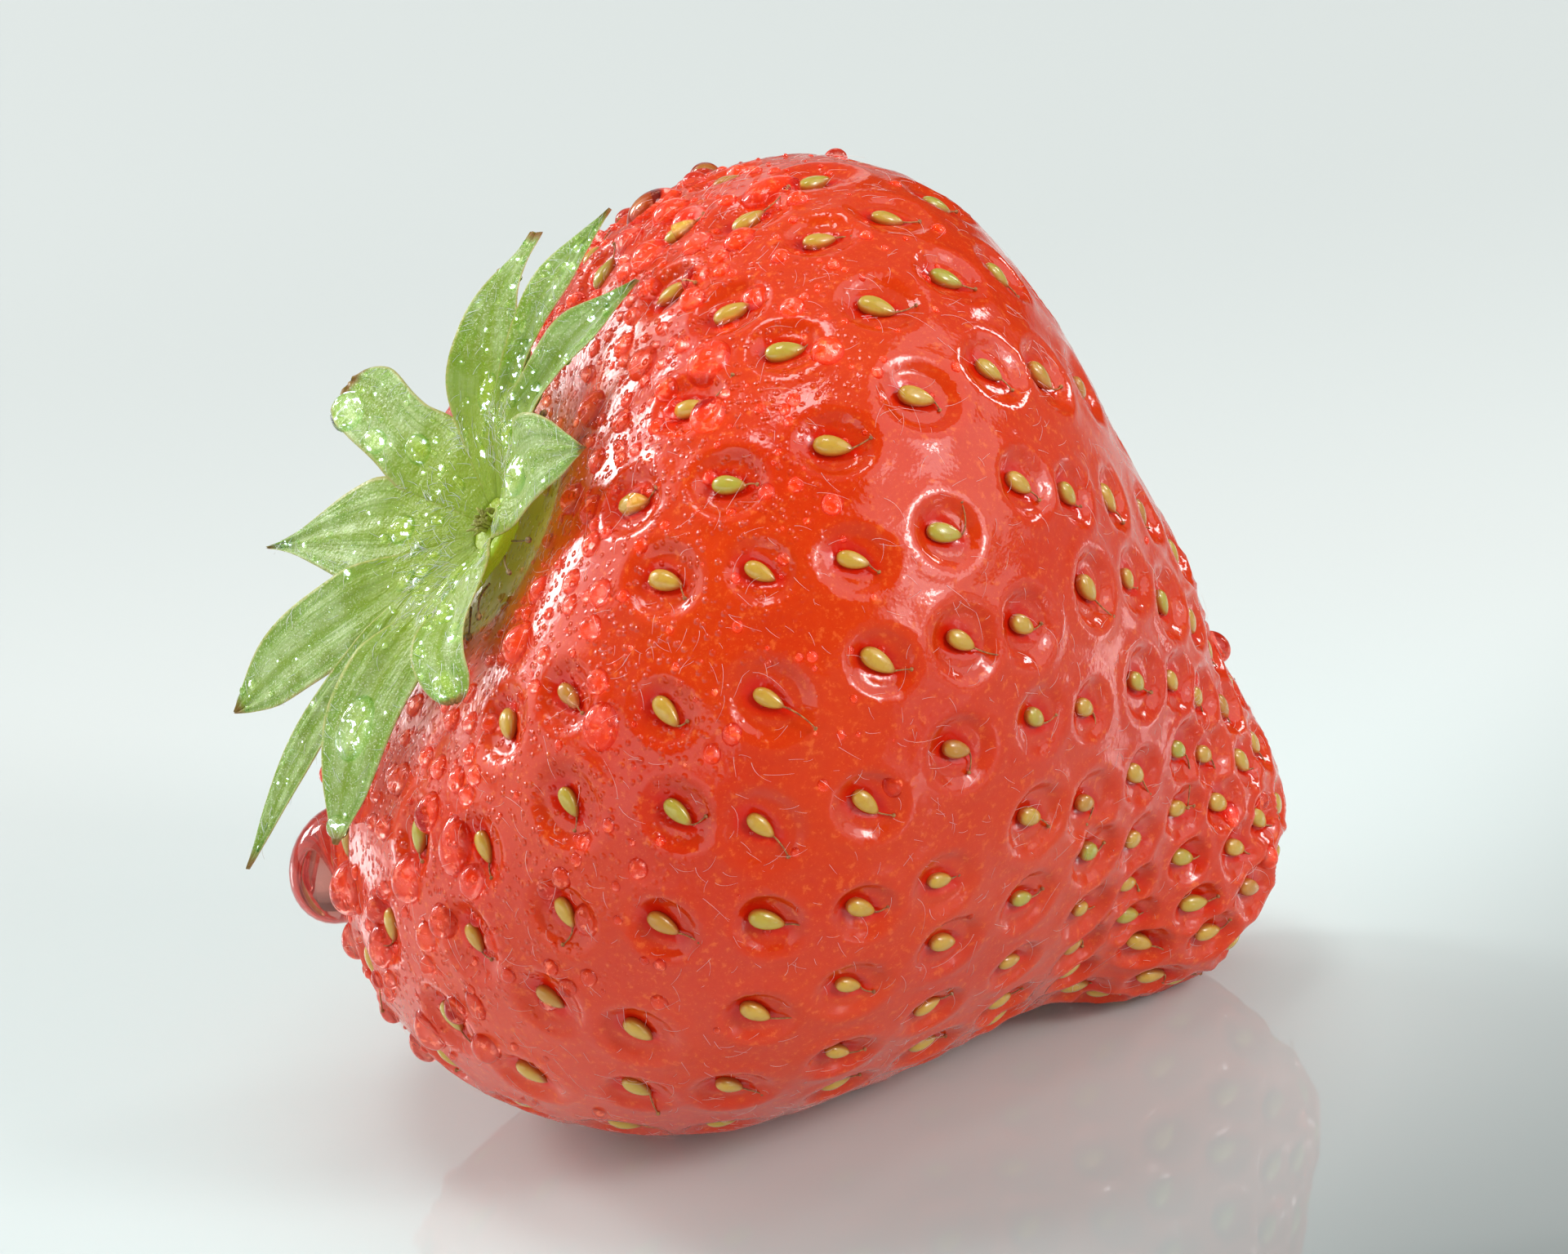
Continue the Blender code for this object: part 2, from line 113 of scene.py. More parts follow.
class Graph:
    """The node graph of one material, with its Principled shader."""

    def __init__(self, name: str) -> None:
        """Make the material of that name."""
        self.material = bpy.data.materials.new(name)
        self.material.use_nodes = True
        self.nodes = self.material.node_tree.nodes
        self.links = self.material.node_tree.links
        self.shader = self.nodes["Principled BSDF"]

    def node(self, kind: str, settings: dict[str, Any], inputs: dict[str | int, Any]) -> bpy.types.Node:
        """Add a node.

        Args:
            kind: the node's type.
            settings: properties of the node, set before its sockets are.
            inputs: for each input socket, by name or number, a plain value, a Value or an output socket.

        Returns:
            The new node.
        """
        made = self.nodes.new(kind)
        for key, setting in settings.items():
            setattr(made, key, setting)
        for key, given in inputs.items():
            self.feed(made.inputs[key], given)
        return made

    def feed(self, socket: Socket, given: Any) -> None:
        """Link a Value or an output socket to an input socket, or set its plain value."""
        if isinstance(given, Value):
            given = given.socket
        if isinstance(given, bpy.types.NodeSocket):
            self.links.new(given, socket)
        elif socket.type == "RGBA":
            socket.default_value = (*given, 1.0)
        else:
            socket.default_value = given

    def set(self, **inputs: Any) -> None:
        """Set or feed the Principled shader's sockets, whose names have _ for a space."""
        for key, given in inputs.items():
            self.feed(self.shader.inputs[key.replace("_", " ")], given)

    def math(self, operation: str, a: "Value | float", b: "Value | float") -> Value:
        """A Math node on two numbers."""
        return Value(self, self.node("ShaderNodeMath", {"operation": operation}, {0: a, 1: b}).outputs[0])

    def mix(self, share: "Value | float", a: Any, b: Any) -> Socket:
        """A colour that goes from a to b as the share goes from 0 to 1."""
        return self.node("ShaderNodeMix", {"data_type": "RGBA"}, {"Factor": share, 6: a, 7: b}).outputs[2]

    def coats(self, colour: Any, *coats: tuple[Value, Any]) -> Any:
        """A colour under coats of other colours, each with the share that it covers."""
        for share, coat in coats:
            colour = self.mix(share, colour, coat)
        return colour

    def ramp(self, value: Value, stops: Sequence[tuple[float, Colour]]) -> Socket:
        """A colour looked up along a ramp.

        Args:
            value: where on the ramp, 0 to 1.
            stops: position and colour of each stop, in order.

        Returns:
            The colour's socket.
        """
        made = self.node("ShaderNodeValToRGB", {}, {0: value})
        elements = made.color_ramp.elements
        for _ in stops[2:]:
            elements.new(0.5)
        for element, (position, colour) in zip(elements, stops):
            element.position = position
            element.color = (*colour, 1.0)
        return made.outputs[0]

    def place(self) -> Socket:
        """The point's place on the object, in metres in the row frame."""
        return self.node("ShaderNodeTexCoord", {}, {}).outputs["Object"]

    def stored(self, name: str, output: str) -> Socket:
        """An output of the node that reads what is stored on the mesh's points."""
        return self.node("ShaderNodeAttribute", {"attribute_name": name}, {}).outputs[output]

    def attribute(self, name: str) -> Value:
        """A number stored on the mesh's points."""
        return Value(self, self.stored(name, "Fac"))

    def parts(self, vector: Socket) -> list[Value]:
        """The three numbers of a vector."""
        return [Value(self, part) for part in self.node("ShaderNodeSeparateXYZ", {}, {0: vector}).outputs]

    def vector(self, x: Any, y: Any) -> Socket:
        """A flat vector from two numbers."""
        return self.node("ShaderNodeCombineXYZ", {}, {0: x, 1: y}).outputs[0]

    def noise(self, size: float, detail: float = 2.0, roughness: float = 0.5, where: Any = None) -> Value:
        """Soft noise.

        Args:
            size: length of one unit of the noise in mm, or in the units of where.
            detail: number of finer layers.
            roughness: strength of the finer layers.
            where: the vector to look up, the place on the object if left out.

        Returns:
            The noise, about 0 to 1.
        """
        scale = 1.0 / size if where is not None else 1.0 / (size * MM)
        inputs = {"Vector": where or self.place(), "Scale": scale, "Detail": detail, "Roughness": roughness}
        return Value(self, self.node("ShaderNodeTexNoise", {}, inputs).outputs[0])

    def cells(self, size: float) -> Value:
        """The distance within a cell of a pattern, in cell widths, from the width of a cell in mm."""
        inputs = {"Vector": self.place(), "Scale": 1.0 / (size * MM)}
        return Value(self, self.node("ShaderNodeTexVoronoi", {}, inputs).outputs["Distance"])

    def relief(self, *layers: tuple[Value, float]) -> Socket:
        """A bumped normal.

        Args:
            layers: from coarse to fine, the height of each layer, 0 to 1, and its real depth in mm.

        Returns:
            The normal's socket.
        """
        under: dict[str, Any] = {}
        for height, depth in layers:
            made = self.node("ShaderNodeBump", {}, {"Height": height, "Distance": depth * MM, **under})
            under = {"Normal": made.outputs[0]}
        return under["Normal"]


def dim(colour: Colour, share: float) -> Colour:
    """A share of a colour's light."""
    return tuple(share * c for c in colour)


# ------------------------------------------------------------------------------------------ finishes
@dataclass(frozen=True)
class FleshSkin:
    """Moist red skin: deep red with orange flecks, paler at the calyx, with painted shade down in the pits."""

    deep: Colour = (0.61, 0.014, 0.0028)
    bright: Colour = (0.77, 0.066, 0.005)
    pale: Colour = (0.94, 0.27, 0.03)
    unripe: Colour = (0.80, 0.70, 0.08)
    # pit: the colour of the painted shade down in the pits
    pit: Colour = (0.72, 0.008, 0.002)
    fleck: Colour = (1.0, 0.22, 0.04)

    def material(self) -> Material:
        """Build the material."""
        g = Graph("flesh_skin")
        collar, mist = g.attribute("collar"), g.attribute("mist")
        grain = g.noise(0.30, 3.0, 0.6)
        fine = g.noise(0.09, 2.0, 0.6)
        colour = g.coats(
            g.mix(g.noise(6.0) * 0.8 + grain * 0.5 - 0.15, self.deep, self.bright),
            (grain.step(0.56, 0.72) * 0.35, self.fleck),
            (fine.step(0.60, 0.75) * 0.30, self.fleck),
            (collar * (0.45 + grain * 0.4), self.pale),
            (collar.step(0.90, 1.0) * 0.8, self.unripe),
            # painted shade: darker red down in the pits
            (g.attribute("pit") * 0.8, self.pit),
        )
        beads = g.cells(0.34).step(0.42, 0.10) * mist
        normal = g.relief((g.noise(1.1), 0.022), (grain, 0.007), (g.cells(0.16), 0.004), (beads, 0.05))
        g.set(Base_Color=colour, Roughness=0.045 + grain * 0.06 + mist * 0.08, Normal=normal)
        g.set(IOR=1.5, Subsurface_Weight=0.22, Subsurface_Scale=0.0012, Subsurface_Radius=(1.0, 0.25, 0.1))
        return g.material


@dataclass(frozen=True)
class SeedCoat:
    """Hard golden coat of an achene, some greener and some browner, with painted shade and painted red bounce light
    at its foot.
    """

    gold: Colour = (0.62, 0.37, 0.05)
    green: Colour = (0.44, 0.41, 0.05)
    brown: Colour = (0.52, 0.22, 0.03)
    # foot: painted shade and painted red light from the flesh, low on the achene where it sinks in
    foot: Colour = (0.40, 0.07, 0.01)

    def material(self) -> Material:
        """Build the material."""
        g = Graph("seed_coat")
        mottle = g.noise(0.25, 3.0, 0.6)
        tones = [(0.0, self.brown), (0.22, self.gold), (0.62, self.gold), (1.0, self.green)]
        colour = g.coats(
            g.ramp(g.attribute("tone"), tones),
            (mottle.step(0.45, 0.75) * 0.35, self.brown),
            (g.attribute("shade") * 0.6, self.brown),
            # painted shade and painted red bounce light at the foot
            (g.attribute("girdle") * 0.85, self.foot),
        )
        g.set(Base_Color=colour, Roughness=0.12 + mottle * 0.14, Normal=g.relief((mottle, 0.02)))
        g.set(IOR=1.5, Subsurface_Weight=0.12, Subsurface_Scale=0.0005, Coat_Weight=0.4, Coat_Roughness=0.08)
        return g.material


@dataclass(frozen=True)
class DryFibre:
    """Dried plant fibre: styles, stamens and the remains in the cup."""

    name: str
    dark: Colour
    light: Colour

    def material(self) -> Material:
        """Build the material."""
        g = Graph(self.name)
        streak = g.noise(0.12, 3.0, 0.65)
        colour = g.mix(streak.step(0.35, 0.7), self.dark, self.light)
        g.set(Base_Color=colour, Roughness=0.45 + streak * 0.2, Normal=g.relief((streak, 0.02)))
        return g.material


@dataclass(frozen=True)
class Hair:
    """Fine pale plant hair."""

    name: str
    colour: Colour = (0.93, 0.80, 0.74)

    def material(self) -> Material:
        """Build the material."""
        g = Graph(self.name)
        g.set(Base_Color=g.mix(g.noise(0.8, 1.0), self.colour, dim(self.colour, 0.82)))
        g.set(Roughness=0.35, Subsurface_Weight=0.3, Subsurface_Scale=0.0003)
        return g.material


@dataclass(frozen=True)
class LeafBlade:
    """Pale green leaf with long veins, a blue-green bloom, a yellow-green root, a brown tip, painted shade in the
    hollows of its crumples and, where set, painted light emitted at its root.
    """

    name: str
    green: Colour = (0.25, 0.37, 0.045)
    bloom: Colour = (0.47, 0.62, 0.25)
    vein: Colour = (0.20, 0.37, 0.03)
    hub: Colour = (0.26, 0.37, 0.012)
    dust: Colour = (0.78, 0.88, 0.62)
    edge: Colour = (0.62, 0.50, 0.20)
    tip: Colour = (0.30, 0.15, 0.04)
    # painted light: the colour emitted at the root, which lightens the shade in the cup
    painted_glow: Colour = BLACK

    def material(self) -> Material:
        """Build the material, over the place along the leaf, the place across it and how near its root is."""
        g = Graph(self.name)
        along, across, hub = g.parts(g.stored("blade", "Vector"))
        wander = g.noise(1.0, where=g.vector(along * 2.2, across * 1.6))
        veins = g.noise(1.0, 3.0, 0.6, g.vector(along * 1.6, across * 7.0 + wander * 3.0))
        grain = g.noise(0.22, 3.0, 0.65)
        patch = g.noise(1.5, 3.0, 0.6)
        speck = g.noise(0.07, 2.0, 0.6)
        crumple = g.noise(0.7)
        outward = across * across
        colour = g.coats(
            self.green,
            (patch.step(0.38, 0.64) * 0.85, self.bloom),
            (grain.step(0.5, 0.72) * 0.55, self.bloom),
            (veins.step(0.55, 0.42) * 0.55, self.vein),
            # painted shade: darker green in the hollows of the crumple bump
            (crumple.step(0.50, 0.34) * 0.45, self.vein),
            (speck.step(0.56, 0.66) * 0.65 * (1 - hub), self.dust),
            (outward.step(0.03, 0.0) * 0.35, self.hub),
            (hub * (0.8 + grain * 0.3), self.hub),
            (outward.step(0.80, 0.98) * grain.step(0.3, 0.6) * 0.6, self.edge),
            (along.step(0.965, 0.995), self.tip),
        )
        normal = g.relief((veins, 0.07), (crumple, 0.09), (grain, 0.045), (g.cells(0.13), 0.018))
        g.set(Base_Color=colour, Roughness=0.16 + grain * 0.30, Normal=normal)
        g.set(IOR=1.38, Subsurface_Weight=0.16, Subsurface_Scale=0.0006, Subsurface_Radius=(0.5, 1.0, 0.2))
        # painted light emitted at the root
        g.set(Emission_Color=g.mix(hub, BLACK, self.painted_glow), Emission_Strength=1.0)
        return g.material


@dataclass(frozen=True)
class Water:
    """Water, clear or tinted red as juice and as painted red light from the flesh, with painted shade at a drop's
    foot and emitted spots of painted caustic light.
    """

    name: str
    colour: Colour = (1.0, 1.0, 1.0)
    # foot: painted shade, the dark outline at a drop's foot
    foot: Colour = (0.34, 0.60, 0.22)
    # the colour emitted by the spots of painted caustic light
    painted_caustic_light: Colour = (0.80, 0.85, 1.15)

    def material(self) -> Material:
        """Build the material."""
        g = Graph(self.name)
        rim = g.attribute("rim")
        # spots of painted caustic light, away from the foot
        spots = g.noise(0.30, 2.0, 0.6).step(0.59, 0.65) * (1 - rim)
        # painted shade towards the foot
        g.set(Base_Color=g.mix(rim * 0.85, self.colour, self.foot), Roughness=0.0, IOR=1.333)
        g.set(Transmission_Weight=1.0, Emission_Color=g.mix(spots, BLACK, self.painted_caustic_light), Emission_Strength=2.0)
        return g.material


@dataclass(frozen=True)
class GlossyBoard:
    """Pale glossy board under the fruit, with painted shade to the right, behind and in front, and painted light
    close to the fruit.
    """

    colour: Colour = (0.72, 0.77, 0.755)
    # near: painted light, a paler and less red tone close to the fruit, against its shadow and red bounce light
    near: Colour = (0.72, 0.87, 0.86)

    def material(self) -> Material:
        """Build the material."""
        g = Graph("glossy_board")
        place = g.place()
        right, behind, _ = g.parts(place)
        away = Value(g, g.node("ShaderNodeVectorMath", {"operation": "LENGTH"}, {0: place}).outputs[1])
        # painted shade: darker to the right, where the fruit's shadow falls, and further behind
        dark = (right - behind * 0.80).step(0.002, 0.044) * 0.42 + behind.step(0.02, 0.11) * 0.16
        colour = g.coats(
            g.mix(g.noise(60.0), self.colour, dim(self.colour, 0.985)),
            # painted light close to the fruit, then painted shade, with more of it in front
            (away.step(0.060, 0.015) * 0.7, self.near),
            (dark + (behind * -1.0).step(0.002, 0.040) * 0.18, BLACK),
        )
        g.set(Base_Color=colour, Roughness=0.04, IOR=1.42)
        return g.material


# ------------------------------------------------------------------------------------------ mesh writing
def link(name: str, data: Any) -> Piece:
    """A new object in the scene."""
    made = bpy.data.objects.new(name, data)
    bpy.context.scene.collection.objects.link(made)
    return made


def dressed(mesh: bpy.types.Mesh, material: Material) -> Piece:
    """The object that shows a mesh, smooth shaded, in one material."""
    mesh.shade_smooth()
    mesh.materials.append(material)
    return link(mesh.name, mesh)


def store(mesh: bpy.types.Mesh, name: str, values: Array) -> None:
    """Store one number or one vector for each point of a mesh."""
    kind, key = ("FLOAT", "value") if values.ndim == 1 else ("FLOAT_VECTOR", "vector")
    mesh.attributes.new(name, kind, "POINT").data.foreach_set(key, values.astype(np.float32).ravel())


def read(mesh: bpy.types.Mesh, key: str) -> Array:
    """A vector of each point of a mesh, one a row."""
    values = np.zeros(len(mesh.vertices) * 3, np.float32)
    mesh.vertices.foreach_get(key, values)
    return values.reshape(-1, 3).astype(float)


def nearest(points: Array, others: Array) -> Array:
    """Distance from each point to the nearest of the others."""
    best = np.full(len(points), np.inf)
    for other in others:
        best = np.minimum(best, ((points - other) ** 2).sum(1))
    return np.sqrt(best)


def unit(vectors: Array) -> Array:
    """The vectors at unit length."""
    return vectors / np.maximum(np.linalg.norm(vectors, axis=-1, keepdims=True), 1e-12)


def smooth(low: float, high: float, value: Array | float) -> Array:
    """0 below low, 1 above high, with a smooth rise between."""
    x = np.clip((value - low) / (high - low), 0.0, 1.0)
    return x * x * (3.0 - 2.0 * x)


def ring_faces(rings: int, sides: int) -> Faces:
    """Faces of a closed skin over rings of points: point 0, the rings in order, then the last point."""
    faces: Faces = []
    last = 1 + rings * sides
    for side in range(sides):
        after = (side + 1) % sides
        faces.append((0, 1 + after, 1 + side))
        for low in range(1, last - sides, sides):
            faces.append((low + side, low + after, low + sides + after, low + sides + side))
        faces.append((last - sides + side, last - sides + after, last))
    return faces


def tube(path: Array, radii: Array, sides: int) -> Solid:
    """A closed tube from the points of its middle line, its radius at each and its number of sides."""
    ahead = unit(np.gradient(path, axis=0))
    helper = np.array([0.31, 0.87, 0.38])
    across = unit(np.cross(ahead, helper))
    over = np.cross(ahead, across)
    turns = np.arange(sides) * 2 * np.pi / sides
    ring = across[:, None] * np.cos(turns)[None, :, None] + over[:, None] * np.sin(turns)[None, :, None]
    body = path[:, None] + ring * radii[:, None, None]
    points = np.concatenate([path[:1], body.reshape(-1, 3), path[-1:]])
    return points, ring_faces(len(path), sides)


def knob(path: Array, length: float, radius: float, sides: int) -> Solid:
    """A small closed egg at the end of a path, from half its length and half its width."""
    angle = np.pi * (np.arange(5) + 0.5) / 5
    middle = path[-1] + unit(path[-1:] - path[-2:-1]) * (-np.cos(angle)[:, None] * length)
    return tube(middle, np.sin(angle) * radius, sides)


def curl(draw: Chance, root: Array, heading: Array, normal: Array, length: float,
         lift: float, bend: float, count: int = 6) -> Array:
    """The path of one curly hair.

    Args:
        draw: the source of chance.
        root: where it grows.
        heading: where it lies to.
        normal: direction out of the skin.
        length: its length in mm.
        lift: how steeply it rises at first.
        bend: how much it bends sideways.
        count: number of points.

    Returns:
        The path's points.
    """
    s = np.linspace(0.0, 1.0, count)[:, None]
    across = np.cross(normal, heading)
    aside = bend * s**2 + draw.uniform(-0.3, 0.3) * s**3
    return root + length * (heading * s + across * aside + normal * lift * (s - 0.8 * s**2))


def dome(radius: float, height: float, stretch: float, foot: float, sides: int,
         levels: int) -> tuple[Array, Faces, Array]:
    """A water drop that sits on a surface at z = 0, with its foot a little below.

    Args:
        radius: half its width.
        height: its height above the surface.
        stretch: its length over its width.
        foot: how far its foot goes on below, where the surface falls away.
        sides: number of sides.
        levels: number of rings over the dome.

    Returns:
        Points, faces and how near each point is to the foot, 0 to 1.
    """
    contact = 2 * math.atan2(height, radius)
    ball = radius / math.sin(contact)
    deepest = math.acos(max(math.cos(contact) - (0.12 * radius + 0.03) / ball, -0.9))
    angle = np.linspace(0.0, 1.0, levels + 1)[1:] * contact
    angle = np.concatenate([angle, [0.5 * (contact + deepest), deepest]])
    foot_reach = ball * math.sin(deepest)
    reach = np.concatenate([ball * np.sin(angle), [0.97 * foot_reach, 0.5 * foot_reach]])
    lowest = ball * (math.cos(deepest) - math.cos(contact)) - foot
    level = np.concatenate([ball * (np.cos(angle) - math.cos(contact)), [lowest, lowest - 0.03]])
    turn = 2 * np.pi * np.arange(sides) / sides
    ring = np.stack([np.cos(turn) * stretch, np.sin(turn), np.zeros(sides)], axis=-1)
    body = reach[:, None, None] * ring[None] + UP * level[:, None, None]
    points = np.concatenate([[[0, 0, height]], body.reshape(-1, 3), [[0, 0, level[-1]]]])
    return points, ring_faces(len(reach), sides), 1 - smooth(0.04 * height, 0.52 * height, points[:, 2])


class Batch:
    """Many small shapes gathered into the mesh of one piece."""

    def __init__(self, name: str) -> None:
        """Start an empty batch for the piece of that name."""
        self.name = name
        self.points: list[Array] = []
        self.faces: Faces = []
        self.stored: dict[str, list[Array]] = {}
        self.count = 0

    def add(self, points: Array, faces: Iterable[Sequence[int]], **stored: Array | float) -> None:
        """Add one shape.

        Args:
            points: its points in mm in the fruit frame.
            faces: point numbers of each face, counted from 0.
            stored: numbers to store on the points, one for all or one for each.
        """
        self.points.append(points)
        self.faces.extend(tuple(self.count + i for i in face) for face in faces)
        for key, given in stored.items():
            given = np.asarray(given, float)
            self.stored.setdefault(key, []).append(np.broadcast_to(given, (len(points), *given.shape[1:])))
        self.count += len(points)

    def build(self, shape: "FruitShape", material: Material) -> Piece:
        """Make the piece.

        Args:
            shape: the fruit, which says how the fruit frame lies in the row frame.
            material: the piece's finish.

        Returns:
            The object, smooth shaded, with its stored numbers as attributes.
        """
        mesh = bpy.data.meshes.new(self.name)
        mesh.from_pydata(shape.world(np.concatenate(self.points)), [], self.faces)
        work = bmesh.new()
        work.from_mesh(mesh)
        bmesh.ops.recalc_face_normals(work, faces=work.faces)
        work.to_mesh(mesh)
        work.free()
        for key, parts in self.stored.items():
            store(mesh, key, np.concatenate(parts))
        return dressed(mesh, material)


@dataclass(frozen=True)
class Curve:
    """A smooth curve through evenly numbered points, with a mirror image past each end if it is mirrored."""

    points: Table
    mirrored: bool = False

    def at(self, t: Array) -> Array:
        """Points at t = 0..1, one row each."""
        given = np.array(self.points, float)
        flip = np.array([1.0, -1.0])
        before = given[1] * flip if self.mirrored else 2 * given[0] - given[1]
        after = given[-2] * flip if self.mirrored else 2 * given[-1] - given[-2]
        path = np.concatenate([[before], given, [after]])
        last = len(given) - 1
        x = np.clip(np.asarray(t, float), 0.0, 1.0) * last
        i = np.minimum(x.astype(int), last - 1)
        f = (x - i)[..., None]
        a, b, c, d = (path[i + k] for k in range(4))
        square, cube = 2 * a - 5 * b + 4 * c - d, 3 * b - a - 3 * c + d
        return 0.5 * (2 * b + (c - a) * f + square * f**2 + cube * f**3)


# ------------------------------------------------------------------------------------------ the fruit's form
@dataclass
class FruitShape:
    """The fruit's smooth form and how it lies."""

    axis_rise: float = 34.0
    axis_turn: float = 15.0
    upper: Curve = Curve(
        ((0.4, 0.0), (0.65, 2.0), (1.6, 3.7), (4.3, 5.8), (7.4, 7.9), (10.6, 10.5), (15.0, 13.9), (19.5, 16.9),
         (23.6, 18.3), (27.4, 17.5), (30.6, 14.9), (32.8, 11.6), (33.6, 8.6), (33.7, 5.6), (33.5, 2.8),
         (33.4, 0.0)), True)
    lower: Curve = Curve(
        ((0.4, 0.0), (0.6, 2.5), (1.25, 4.6), (4.0, 6.5), (7.6, 8.4), (11.2, 11.5), (15.0, 14.5), (19.0, 17.1),
         (23.5, 18.3), (27.6, 18.1), (31.2, 16.4), (33.8, 12.8), (34.5, 9.0), (34.2, 5.6), (33.6, 2.8),
         (33.4, 0.0)), True)
    broadest: float = 18.3
    middle_height: float = 18.0
    front_to_back: float = 0.96
    calyx_end_lift: float = 1.2
    lift_from: float = 20.0
    lift_to: float = 34.0
    swellings: Table = (
        (195.0, 29.0, 50.0, 5.0, 0.7), (250.0, 30.0, 40.0, 5.0, 0.6), (160.0, 3.0, 60.0, 3.5, 0.5),
        (20.0, 10.0, 22.0, 2.4, 0.45), (120.0, 8.5, 30.0, 3.0, -0.4))
    swelling_fade: float = 5.0
    cup_section: Table = (
        (0.0, 34.15), (1.1, 34.2), (2.2, 34.55), (3.1, 35.1), (3.85, 35.6), (4.1, 35.4), (3.4, 34.75),
        (2.5, 34.2), (1.4, 33.85), (0.0, 33.8))
    cup_lobe: float = 0.06
    cup_lobe_turn: float = 0.6

    def __post_init__(self) -> None:
        """Work out the rotation that lays the fruit down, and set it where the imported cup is."""
        rise, turn = math.radians(self.axis_rise), math.radians(self.axis_turn)
        axis = np.array([-math.cos(rise) * math.cos(turn), -math.cos(rise) * math.sin(turn), math.sin(rise)])
        upper = np.array([math.sin(rise) * math.cos(turn), math.sin(rise) * math.sin(turn), math.cos(rise)])
        self.rotation = np.stack([np.cross(upper, axis), upper, axis], axis=1)
        angle = np.arange(40) * 2 * np.pi / 40
        cup = np.concatenate([self.lobed(r, angle, h) for r, h in self.cup_section]) @ self.rotation.T
        low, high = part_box("calyx_cup")
        middle = 0.5 * (np.array(low) + np.array(high)) / MM
        self.shift = middle - 0.5 * (cup.min(0) + cup.max(0))

    def about_axis(self, radius: Any, angle: Any, height: Any) -> Array:
        """Points about the calyx end's axis from a radius, an angle in radians and a height, in mm."""
        radius, angle, height = np.broadcast_arrays(radius, angle, height)
        upward = radius * np.cos(angle) + self.calyx_end_lift
        return np.stack([radius * np.sin(angle), upward, height], axis=-1)

    def lobed(self, radius: float, angle: Array, height: Any) -> Array:
        """One ring of the cup, which has five lobes."""
        lobes = 1 + self.cup_lobe * np.sin(5 * angle + self.cup_lobe_turn)
        return self.about_axis(radius * lobes, angle, height)

    def from_axis(self, points: Array) -> Array:
        """Distance of points of the fruit frame from the calyx end's axis, in mm."""
        return np.hypot(points[:, 0], points[:, 1] - self.calyx_end_lift)

    def world(self, points: Array) -> Array:
        """Points of the fruit frame in mm, in the row frame in metres, with none under the board."""
        placed = (points @ self.rotation.T + self.shift) * MM
        placed[..., 2] = np.maximum(placed[..., 2], 0.0)
        return placed

    def skin(self, clock: Any, t: Any) -> Array:
        """Points of the smooth skin in the fruit frame.

        Args:
            clock: clock angles in degrees.
            t: place from the tip, 0, to the middle of the calyx end, 1.

        Returns:
            One point a row, in mm.
        """
        clock, t = np.broadcast_arrays(np.asarray(clock, float), np.asarray(t, float))
        angle = np.radians(clock)
        share = (0.5 + 0.5 * np.cos(angle))[..., None]
        height, radius = np.moveaxis(self.upper.at(t) * share + self.lower.at(t) * (1 - share), -1, 0)
        radius = radius * (1 - (1 - self.front_to_back) * np.sin(angle) ** 2)
        swell = np.zeros_like(radius)
        for at_clock, at_height, width, length, size in self.swellings:
            turn = (clock - at_clock + 180.0) % 360.0 - 180.0
            swell += size * np.exp(-((turn / width) ** 2) - ((height - at_height) / length) ** 2)
        radius = radius + swell * np.minimum(radius / self.swelling_fade, 1.0)
        lift = self.calyx_end_lift * smooth(self.lift_from, self.lift_to, height)
        return np.stack([radius * np.sin(angle), radius * np.cos(angle) + lift, height], axis=-1)

    def frames(self, clock: Any, t: Any) -> tuple[Array, Array, Array]:
        """Places on the smooth skin.

        Args:
            clock: clock angles in degrees.
            t: place from the tip to the calyx end.

        Returns:
            Points, outward normals and directions to the tip.
        """
        point = self.skin(clock, t)
        across = self.skin(clock + 0.5, t) - self.skin(clock - 0.5, t)
        down = self.skin(clock, t - 0.002) - self.skin(clock, t + 0.002)
        normal = unit(np.cross(across, down))
        outward = ((point - UP * self.middle_height) * normal).sum(-1, keepdims=True)
        normal = np.where(outward < 0, -normal, normal)
        tipward = unit(down - normal * (down * normal).sum(-1, keepdims=True))
        return point, normal, tipward


@dataclass
class SeedSpiral:
    """Where the achenes sit: a golden-angle spiral that tightens towards the tip."""

    shape: FruitShape
    spacing_at_tip: float = 2.56
    spacing_at_shoulder: float = 4.19
    spacing_near: float = 5.3
    spacing_far: float = 18.15
    first_area: float = 0.53
    last_radius: float = 9.5
    start: float = 329.2
    clock_scatter: float = 0.139
    t_scatter: float = 0.0053
    packing: float = 0.866
    seed: int = 44
    steps: int = 900

    def places(self) -> tuple[Array, Array]:
        """Clock angle and t of every achene, from the tip on."""
        draw = random.Random(self.seed)
        golden = 180.0 * (3.0 - math.sqrt(5.0))
        line = self.shape.skin(np.full(self.steps + 1, 90.0), np.arange(self.steps + 1) / self.steps)
        clocks: list[float] = []
        ts: list[float] = []
        filled = self.first_area
        for step in range(1, self.steps + 1):
            before, here = line[step - 1], line[step]
            radius = 0.5 * (here[0] + before[0])
            if here[2] > self.shape.lift_from and here[0] < self.last_radius:
                break
            widen = float(smooth(self.spacing_near, self.spacing_far, here[2]))
            spacing = self.spacing_at_tip + (self.spacing_at_shoulder - self.spacing_at_tip) * widen
            length = float(np.linalg.norm(here - before))
            filled += 2 * math.pi * radius * length / (self.packing * spacing**2)
            scatter = math.degrees(self.clock_scatter * spacing / max(radius, spacing))
            while filled >= len(clocks) + 1:
                turn = self.start + golden * len(clocks) + scatter * draw.uniform(-1.0, 1.0)
                clocks.append(turn % 360.0)
                ts.append(step / self.steps + draw.uniform(-0.5, 0.5) * self.t_scatter)
        return np.array(clocks), np.array(ts)


